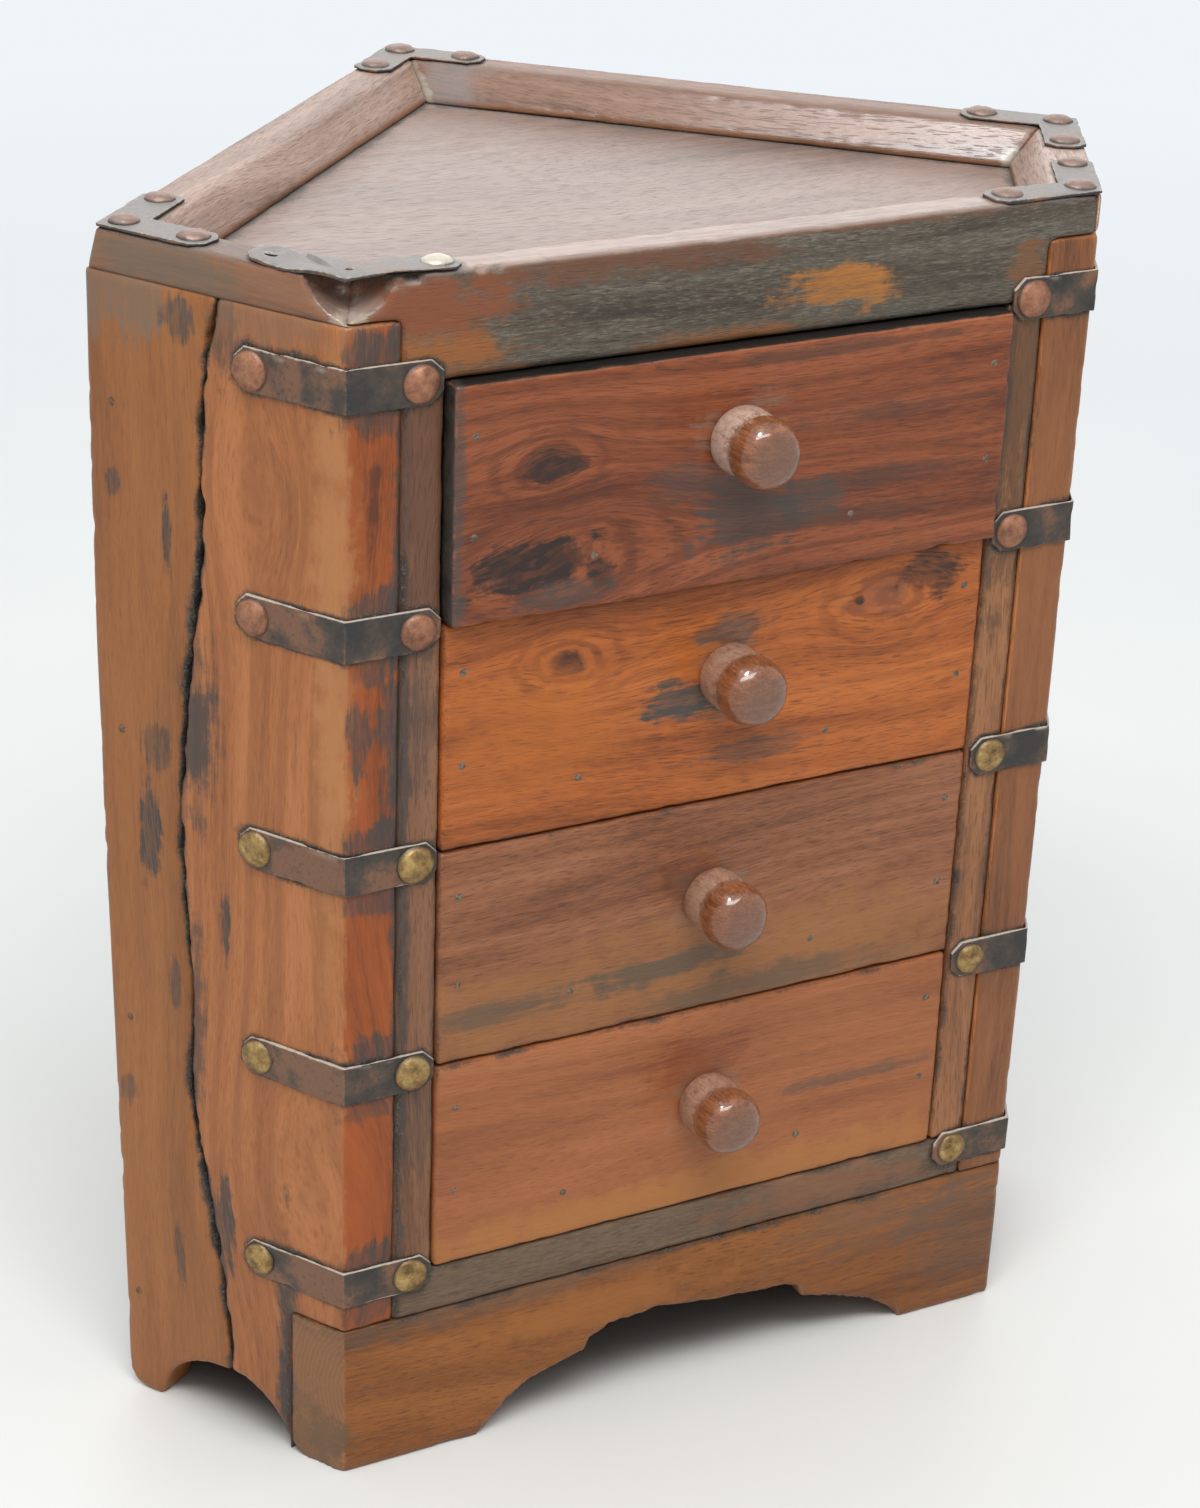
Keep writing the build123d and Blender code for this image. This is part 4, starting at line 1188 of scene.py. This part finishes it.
def knob_wood():
    """Polished turned hardwood with pale dust on the collar. The face of the head is darker: worn end grain
    and painted shade.
    """
    material, place = new_finish("knob_wood")
    fibre = place.vector("MULTIPLY", (90, 20, 260))
    streak = fibre.noise(3, 4, 0.6)
    thread = fibre.noise(16, 3)
    blotch = place.noise(420, 5, 0.65)
    stops = [(0.38, (0.13, 0.042, 0.016)), (0.5, (0.22, 0.075, 0.028)), (0.62, (0.32, 0.12, 0.048))]
    colour = (streak * 0.5 + thread * 0.5).ramp(stops)
    # Darker face of the head: worn end grain, and painted shade where the face turns away from the light
    # above.
    face = (place.facing(FRONT_OUT) + (blotch - 0.5) * 0.3).step(0.72, 0.98)
    colour = (face * 0.5).blend(colour, (0.14, 0.075, 0.048))
    collar = (place.attribute("collar") + (blotch - 0.5) * 1.6 + (thread - 0.5) * 1.0).step(0.35, 1.15)
    top_knob = place.part(2).step(*TOP_KNOB)
    collar_tone = top_knob.blend((0.41, 0.25, 0.17), (0.5, 0.35, 0.27))
    colour = (collar * (0.65 + top_knob * 0.25)).blend(colour, collar_tone)
    roughness = 0.26 + collar * 0.4 + streak * 0.14
    height = thread * 0.4 + blotch * collar * 1.5
    shader = {"Base Color": colour, "Roughness": roughness, "Specular IOR Level": 0.25}
    close_finish(place, height, 0.0002, {**shader, "Coat Weight": 0.9, "Coat Roughness": 0.09})
    return material


turned_wood = knob_wood()
for number in (1, 2, 3, 4):
    node = f"drawer_{number}_knob"
    mesh = knob_mesh(node, 80 + number)
    place_piece(f"{node}_turned", mesh, turned_wood, f"drawer_{number}", "knob_wood", node)

# Straps: strips of thin blackened iron, cut in a V for the corners of the rim and bent round the front
# corners, held by tacks. Rust shows through the black, and pale dust lies on the upper edges.

STRAP_VOXEL = 0.00045
TORN_HOLE = (-0.1187, front_y + 0.0274)
TORN_WIDTH = 0.0016
TORN_REACH = 0.003
STRAP_LIFT = 0.0008
LIFT_PLACE = 0.012
LIFT_REACH = 0.012
CREASE_DEPTH = 0.0006
CREASE_LENGTH = 0.0042
TOP_LEVEL = (0.34, 0.35)


def strap_iron():
    """Blackened iron with soft rust, brown on the return from rust and painted sheen, pale grey on top from
    dust and painted sheen, and a dusty pale line along each upper edge.
    """
    material, place = new_finish("strap_iron")
    broad = place.noise(75, 3, 0.55)
    fine = place.noise(800, 4, 0.65)
    stops = [(0.42, (0.038, 0.033, 0.03)), (0.53, (0.075, 0.055, 0.042)), (0.64, (0.2, 0.098, 0.056))]
    # Faces turned to the left return are browner and lighter: rust, and painted sheen from the light on the
    # left.
    rust_and_sheen = place.facing(RETURN_OUT).step(0.6, 0.9) * 0.11
    colour = (broad * 0.85 + fine * 0.15 + rust_and_sheen).ramp(stops)
    colour = (fine.step(0.48, 0.3) * 0.4).blend(colour, (0.03, 0.026, 0.024))
    rubbed = (place.attribute("wear") + (fine - 0.5) * 1.2).step(0.85, 1.3)
    colour = (rubbed * 0.25).blend(colour, (0.26, 0.215, 0.18))
    upward = place.facing(UP)
    on_top = place.part(2).step(*TOP_LEVEL)
    # Pale grey on the top faces of the top straps: dust, and painted sheen of the light reflected at a
    # grazing angle.
    dusty = upward.step(0.5, 0.9) * on_top * (0.5 + fine * 0.6)
    colour = (dusty * 0.8).blend(colour, (0.34, 0.31, 0.285))
    colour = (dusty * rubbed).blend(colour, (0.6, 0.52, 0.45))
    edge_line = upward.step(0.1, 0.45) * (1 - on_top) * (0.35 + fine)
    colour = edge_line.blend(colour, (0.52, 0.44, 0.36))
    roughness = 0.34 + broad * 0.2 + edge_line * 0.3 + dusty * 0.2
    metallic = 0.35 - edge_line * 0.3 - dusty * 0.25
    shader = {"Base Color": colour, "Roughness": roughness, "Metallic": metallic}
    close_finish(place, fine * 0.5 + broad * 0.5, 0.0002, shader)
    return material


iron = strap_iron()


def lifted_corner(points):
    """Bend the front left strap: it has come up off the broken corner and is dented beside its torn hole."""
    from_corner = np.linalg.norm(points[:, :2] - np.array(front_left.xy), axis=1)
    on_front_leg = points[:, 0] > front_left.x
    lift = STRAP_LIFT * np.exp(-(((from_corner - LIFT_PLACE) / LIFT_REACH) ** 2)) * on_front_leg
    crease = CREASE_DEPTH * np.sin(from_corner / CREASE_LENGTH) * ~on_front_leg
    bent = points + np.stack([0 * lift, 0 * lift, lift + crease], axis=1)
    torn = bent[:, :2] - np.array(TORN_HOLE)
    reach = np.maximum(np.linalg.norm(torn, axis=1), MERGE_REACH)
    push = TORN_WIDTH * np.exp(-((reach / TORN_REACH) ** 2))
    bent[:, :2] += torn / reach[:, None] * push[:, None]
    return bent


TOP_STRAPS = ("strap_front_left", "strap_front_right", "strap_rear_right", "strap_apex", "strap_rear_left")
for number, node in enumerate(TOP_STRAPS):
    broken = node == "strap_front_left"
    mesh = worn_mesh(
        node,
        STRAP_VOXEL,
        0,
        90 + number,
        wave=0.00018,
        nick=0.0004,
        shape=lifted_corner if broken else None,
        fill_holes=not broken,
    )
    place_piece(f"{node}_bent", mesh, iron, "case", "strap_iron", node)
for number, node in enumerate(("left_edge_straps", "right_edge_straps")):
    mesh = worn_mesh(node, STRAP_VOXEL, 0, 96 + number, wave=0.0002, nick=0.0004)
    place_piece(f"{node}_bent", mesh, iron, "case", "strap_iron", node)

# Tacks and nails: domed brass tacks through the straps, and small iron nails in the drawer fronts and side
# boards. Each head was hammered home, so no two are quite alike.

HEAD_SEGMENTS = 28
HEAD_RINGS = 16
HEAD_SIZES = {"Min": 0.93, "Max": 1.05}
DENT_SCALE = 330.0
SINK = 0.0002
BRIGHT_TACK = (-0.0845, front_y + 0.006, 0.357)
COPPER_LEVEL = (0.215, 0.25)


def heads_tree():
    """Node tree that sets a hammered dome on each point, turned to the point's aim."""
    tree = bpy.data.node_groups.new("hammered_heads", "GeometryNodeTree")
    sockets = {}
    tree.interface.new_socket("Geometry", in_out="OUTPUT", socket_type="NodeSocketGeometry")
    for label, kind in (
        ("Geometry", "NodeSocketGeometry"),
        ("Head Radius", "NodeSocketFloat"),
        ("Head Height", "NodeSocketFloat"),
        ("Dent Depth", "NodeSocketFloat"),
        ("Seed", "NodeSocketInt"),
        ("Material", "NodeSocketMaterial"),
    ):
        sockets[label] = tree.interface.new_socket(label, in_out="INPUT", socket_type=kind).identifier
    inputs = tree.nodes.new("NodeGroupInput").outputs

    def add(kind, settings, links):
        made = tree.nodes.new(kind)
        for key, value in settings.items():
            setattr(made, key, value)
        for key, value in links.items():
            if isinstance(value, bpy.types.NodeSocket):
                tree.links.new(value, made.inputs[key])
            else:
                made.inputs[key].default_value = value
        return made.outputs

    def maths(operation, first, second):
        return add("ShaderNodeMath", {"operation": operation}, {0: first, 1: second})[0]

    fineness = {"Segments": HEAD_SEGMENTS, "Rings": HEAD_RINGS}
    ball = add("GeometryNodeMeshUVSphere", {}, {**fineness, "Radius": 1.0})
    place = add("GeometryNodeInputPosition", {}, {})[0]
    parts = add("ShaderNodeSeparateXYZ", {}, {0: place})
    flat = add("ShaderNodeCombineXYZ", {}, {0: parts[0], 1: parts[1]})[0]
    rim = add("ShaderNodeVectorMath", {"operation": "LENGTH"}, {0: flat})[1]
    marked = add(
        "GeometryNodeStoreNamedAttribute",
        {"data_type": "FLOAT", "domain": "POINT"},
        {"Geometry": ball[0], "Name": "rim", "Value": rim},
    )[0]
    tall = maths("MULTIPLY", maths("MAXIMUM", parts[2], 0.0), inputs["Head Height"])
    wide_x = maths("MULTIPLY", parts[0], inputs["Head Radius"])
    wide_y = maths("MULTIPLY", parts[1], inputs["Head Radius"])
    shaped = add("ShaderNodeCombineXYZ", {}, {0: wide_x, 1: wide_y, 2: tall})[0]
    dome = add("GeometryNodeSetPosition", {}, {"Geometry": marked, "Position": shaped})[0]
    aim = add("GeometryNodeInputNamedAttribute", {"data_type": "FLOAT_VECTOR"}, {"Name": "aim"})[0]
    turned = add("FunctionNodeAlignRotationToVector", {"axis": "Z"}, {"Vector": aim})[0]
    size = add("FunctionNodeRandomValue", {"data_type": "FLOAT"}, {**HEAD_SIZES, "Seed": inputs["Seed"]})
    grown = next(output for output in size if output.enabled and output.type == "VALUE")
    set_out = add(
        "GeometryNodeInstanceOnPoints",
        {},
        {"Points": inputs["Geometry"], "Instance": dome, "Rotation": turned, "Scale": grown},
    )[0]
    solid = add("GeometryNodeRealizeInstances", {}, {"Geometry": set_out})[0]
    where = add("GeometryNodeInputPosition", {}, {})[0]
    noise = add("ShaderNodeTexNoise", {}, {"Vector": where, "Scale": DENT_SCALE, "Detail": 2.0})[0]
    deep = maths("MULTIPLY", maths("SUBTRACT", noise, 0.5), inputs["Dent Depth"])
    normal = add("GeometryNodeInputNormal", {}, {})[0]
    push = add("ShaderNodeVectorMath", {"operation": "SCALE"}, {0: normal, 3: deep})[0]
    dented = add("GeometryNodeSetPosition", {}, {"Geometry": solid, "Offset": push})[0]
    smooth = add("GeometryNodeSetShadeSmooth", {}, {"Geometry": dented})[0]
    painted = add("GeometryNodeSetMaterial", {}, {"Geometry": smooth, "Material": inputs["Material"]})[0]
    tree.links.new(painted, tree.nodes.new("NodeGroupOutput").inputs["Geometry"])
    return tree, sockets


head_tree, head_sockets = heads_tree()


def fastener_seats(node):
    """Where each fastener of a CAD node meets the surface, and which way it points out."""
    bm = bmesh.new()
    bm.from_mesh(nodes[node].data)
    bmesh.ops.remove_doubles(bm, verts=bm.verts, dist=MERGE_REACH)
    seats = []
    for group in edge_groups(bm.edges):
        places = np.array([vertex.co for vertex in group])
        middle = places.mean(axis=0)
        spread, ways = np.linalg.svd(places - middle)[1:]
        axis = ways[2] if spread[0] - spread[1] < spread[1] - spread[2] else ways[0]
        along = (places - middle) @ axis
        radius = np.linalg.norm(places - middle - along[:, None] * axis, axis=1)
        top_radius = radius[along > along.max() * 0.5].max()
        foot_radius = radius[along < along.min() * 0.5].max()
        plain = abs(top_radius - foot_radius) < SINK
        points_in = axis @ middle < 0 if plain else top_radius < foot_radius
        if points_in:
            axis = -axis
            along = -along
        widest = along[radius > radius.max() - MERGE_REACH]
        seats.append((middle + axis * (widest.max() if plain else widest.min()), axis))
    bm.free()
    return seats


def add_heads(node, ending, size, seed, material, body, slot):
    """One mesh of hammered heads on the fasteners of a CAD node. size is radius, height and dent depth."""
    name = f"{node}_{ending}"
    radius, height, dent = size
    seats = fastener_seats(node)
    mesh = bpy.data.meshes.new(name)
    mesh.from_pydata([seat - axis * SINK for seat, axis in seats], [], [])
    aim = mesh.attributes.new("aim", "FLOAT_VECTOR", "POINT")
    aim.data.foreach_set("vector", np.array([axis for seat, axis in seats], np.float32).ravel())
    made = add_object(f"{name}_points", mesh)
    heads = made.modifiers.new("heads", "NODES")
    heads.node_group = head_tree
    for label, value in (
        ("Head Radius", radius),
        ("Head Height", height),
        ("Dent Depth", dent),
        ("Seed", seed),
        ("Material", material),
    ):
        heads[head_sockets[label]] = value
    place_piece(name, baked_mesh(made), material, body, slot, node)


def tack_brass():
    """Tarnished brass on the lower straps, copper brown higher up, dirt round each rim, one bright head."""
    material, place = new_finish("tack_brass")
    blotch = place.noise(260, 4, 0.6)
    fine = place.noise(1500, 2)
    tarnish = blotch * 0.8 + fine * 0.2
    stops = [(0.35, (0.12, 0.07, 0.03)), (0.52, (0.32, 0.2, 0.075)), (0.68, (0.5, 0.36, 0.14))]
    yellow = tarnish.ramp(stops)
    stops = [(0.35, (0.16, 0.07, 0.04)), (0.52, (0.33, 0.145, 0.08)), (0.68, (0.45, 0.22, 0.125))]
    copper = tarnish.ramp(stops)
    high = (place.part(2) + (blotch - 0.5) * 0.05).step(*COPPER_LEVEL)
    colour = high.blend(yellow, copper)
    dusty = place.part(2).step(*TOP_LEVEL) * (0.5 + blotch * 0.6)
    colour = dusty.blend(colour, (0.26, 0.19, 0.16))
    bright = place.vector("SUBTRACT", BRIGHT_TACK).vector("LENGTH", output=1).step(0.008, 0.006)
    colour = bright.blend(colour, (0.55, 0.5, 0.4))
    dirt = (place.attribute("rim") + (blotch - 0.5) * 0.3).step(0.86, 1.0)
    colour = (dirt * 0.8).blend(colour, SOOT_COLOUR)
    roughness = 0.34 + blotch * 0.2 + high * 0.08
    metallic = 0.75 - dirt * 0.5 - high * 0.2
    shader = {"Base Color": colour, "Roughness": roughness, "Metallic": metallic}
    close_finish(place, fine * 0.4 + blotch * 0.6, 0.0003, shader)
    return material


def nail_iron(name, dark, pale):
    """Dull iron nail heads, browned with wax."""
    material, place = new_finish(name)
    fine = place.noise(1200, 3)
    colour = fine.ramp([(0.4, dark), (0.6, pale)])
    shader = {"Base Color": colour, "Roughness": 0.6, "Metallic": 0.3}
    close_finish(place, fine, 0.0002, shader)
    return material


brass = tack_brass()
drawer_nail = nail_iron("drawer_nail_iron", (0.09, 0.06, 0.042), (0.22, 0.165, 0.12))
case_nail = nail_iron("case_nail_iron", (0.1, 0.05, 0.025), (0.2, 0.1, 0.05))
TACK_SIZE = (0.0053, 0.0023, 0.0008)
TOP_TACK_SHARE = 0.84
TOP_TACK_SIZE = (TACK_SIZE[0] * TOP_TACK_SHARE, TACK_SIZE[1] * TOP_TACK_SHARE, TACK_SIZE[2])
NAIL_SIZE = (0.0013, 0.0004, 0.0002)
add_heads("left_edge_tacks", "domed", TACK_SIZE, 0, brass, "case", "tack_brass")
add_heads("right_edge_tacks", "domed", TACK_SIZE, 1, brass, "case", "tack_brass")
add_heads("top_strap_tacks", "domed", TOP_TACK_SIZE, 2, brass, "case", "tack_brass")
add_heads("case_nails", "hammered", NAIL_SIZE, 5, case_nail, "case", "nail_iron")
for number in (1, 2, 3, 4):
    body = f"drawer_{number}"
    add_heads(f"{body}_nails", "hammered", NAIL_SIZE, number, drawer_nail, body, "nail_iron")

# Studio: a plain pale floor that fades into a white surround, with soft light from the left, from above and
# from behind. A painted shadow darkens the floor under the chest, where little light gets in.

FLOOR_REACH = 30
floor_mesh = bpy.data.meshes.new("floor")
floor_corners = [(-FLOOR_REACH, -FLOOR_REACH, 0), (FLOOR_REACH, -FLOOR_REACH, 0)]
floor_corners += [(FLOOR_REACH, FLOOR_REACH, 0), (-FLOOR_REACH, FLOOR_REACH, 0)]
floor_mesh.from_pydata(floor_corners, [], [(0, 1, 2, 3)])
floor = add_object("floor", floor_mesh)
WHITE = (0.865, 0.905, 0.95)
SKY_TONE = (0.92, 0.96, 1.0)
FLOOR_TONES = ((0.76, 0.76, 0.73), (0.77, 0.77, 0.74))
BACKDROP_FADE = (0.4, 1.6)
# Colour and reach of the painted shadow on the floor under the chest
PAINTED_SHADOW_TONE = (0.12, 0.11, 0.095)
UNDER_MIDDLE = (0, -0.03, 0)
UNDER_REACH = (0.15, 0.1, 1)
UNDER_FADE = 0.03


def seen_rays(tree):
    """1 for what the camera sees straight, in a reflection or through glass."""
    path = tree.nodes.new("ShaderNodeLightPath").outputs
    rays = ("Is Camera Ray", "Is Glossy Ray", "Is Transmission Ray")
    return sum(Shade(tree, path[ray]) for ray in rays).step(0, 1)


floor_paint, place = new_finish("floor_paint")
mottle = place.noise(9, 4)
pale = mottle.step(0.3, 0.7).blend(*FLOOR_TONES)
# Painted shadow: the floor is painted darker under the chest, fading in just behind the front.
painted_shadow = place.vector("SUBTRACT", UNDER_MIDDLE).vector("DIVIDE", UNDER_REACH).vector("LENGTH", output=1)
painted_shadow = painted_shadow.step(1.0, 0.8) * place.part(1).step(front_y, front_y + UNDER_FADE)
pale = (painted_shadow * 0.75).blend(pale, PAINTED_SHADOW_TONE)
paint = place.node("ShaderNodeBsdfPrincipled", {}, {"Base Color": pale, "Roughness": 0.55})
backdrop = place.node("ShaderNodeEmission", {}, {"Color": WHITE, "Strength": 1.0})
far = place.vector("LENGTH", output=1).step(*BACKDROP_FADE) * seen_rays(floor_paint.node_tree)
paint = place.node("ShaderNodeMixShader", {}, {0: far, 1: paint, 2: backdrop})
place.node("ShaderNodeOutputMaterial", {}, {"Surface": paint})
floor.data.materials.append(floor_paint)

world = bpy.data.worlds.new("studio")
bpy.context.scene.world = world
world.use_nodes = True
world.node_tree.nodes.clear()
direction = Shade(world.node_tree, world.node_tree.nodes.new("ShaderNodeTexCoord").outputs["Generated"])
overhead = direction.part(2).step(0.05, 0.75) * 0.85 + 0.12
strength = seen_rays(world.node_tree) * (0.95 - overhead) + overhead
sky = direction.node("ShaderNodeBackground", {}, {"Color": SKY_TONE, "Strength": strength})
sky.node("ShaderNodeOutputWorld", {}, {"Surface": sky})


def softbox(name, place, target, width, height, power):
    """Large soft lamp, aimed at a point."""
    lamp = bpy.data.lights.new(name, "AREA")
    lamp.shape = "RECTANGLE"
    lamp.size = width
    lamp.size_y = height
    lamp.energy = power
    made = add_object(name, lamp)
    aim = Vector(target) - Vector(place)
    made.matrix_world = Matrix.Translation(place) @ aim.to_track_quat("-Z", "Y").to_matrix().to_4x4()
    made.visible_camera = False
    return made


softbox("front_softbox", (-0.5, -0.95, 1.85), (0, 0, 0.18), 1.5, 0.55, 26)
sheen = softbox("rear_softbox", (0.8, 1.5, 1.05), (0, 0, 0.33), 1.7, 0.9, 11)
sheen.visible_diffuse = False
gloss = softbox("top_softbox", (-0.4, -0.29, 1.46), (0.12, -0.01, 0.35), 0.2, 0.2, 9)
gloss.visible_diffuse = False

# Camera: at the photograph's place, with its principal point a little left of and below the middle of the
# frame. Its place, turn and focal length were fitted to the corners and edges of the chest.

FRAME_WIDTH = 1200
FRAME_HEIGHT = 1508
FOCAL_PIXELS = 3363.3
PRINCIPAL_POINT = (560, 880)
SENSOR = 36
camera = bpy.data.cameras.new("camera")
camera.sensor_fit = "VERTICAL"
camera.sensor_height = SENSOR
camera.lens = SENSOR * FOCAL_PIXELS / FRAME_HEIGHT
camera.shift_x = (FRAME_WIDTH / 2 - PRINCIPAL_POINT[0]) / FRAME_HEIGHT
camera.shift_y = (PRINCIPAL_POINT[1] - FRAME_HEIGHT / 2) / FRAME_HEIGHT
CAMERA_PLACE = (-0.43412, -0.81948, 0.59733)
YAW = 0.4915
PITCH = 0.471
ROLL = 0.0348
viewer = add_object("camera", camera)
aim = Matrix.Rotation(-YAW, 4, "Z") @ Matrix.Rotation(math.pi / 2 - PITCH, 4, "X")
viewer.matrix_world = Matrix.Translation(CAMERA_PLACE) @ (aim @ Matrix.Rotation(ROLL, 4, "Z"))
bpy.context.scene.camera = viewer
bpy.context.scene.view_settings.view_transform = "Standard"
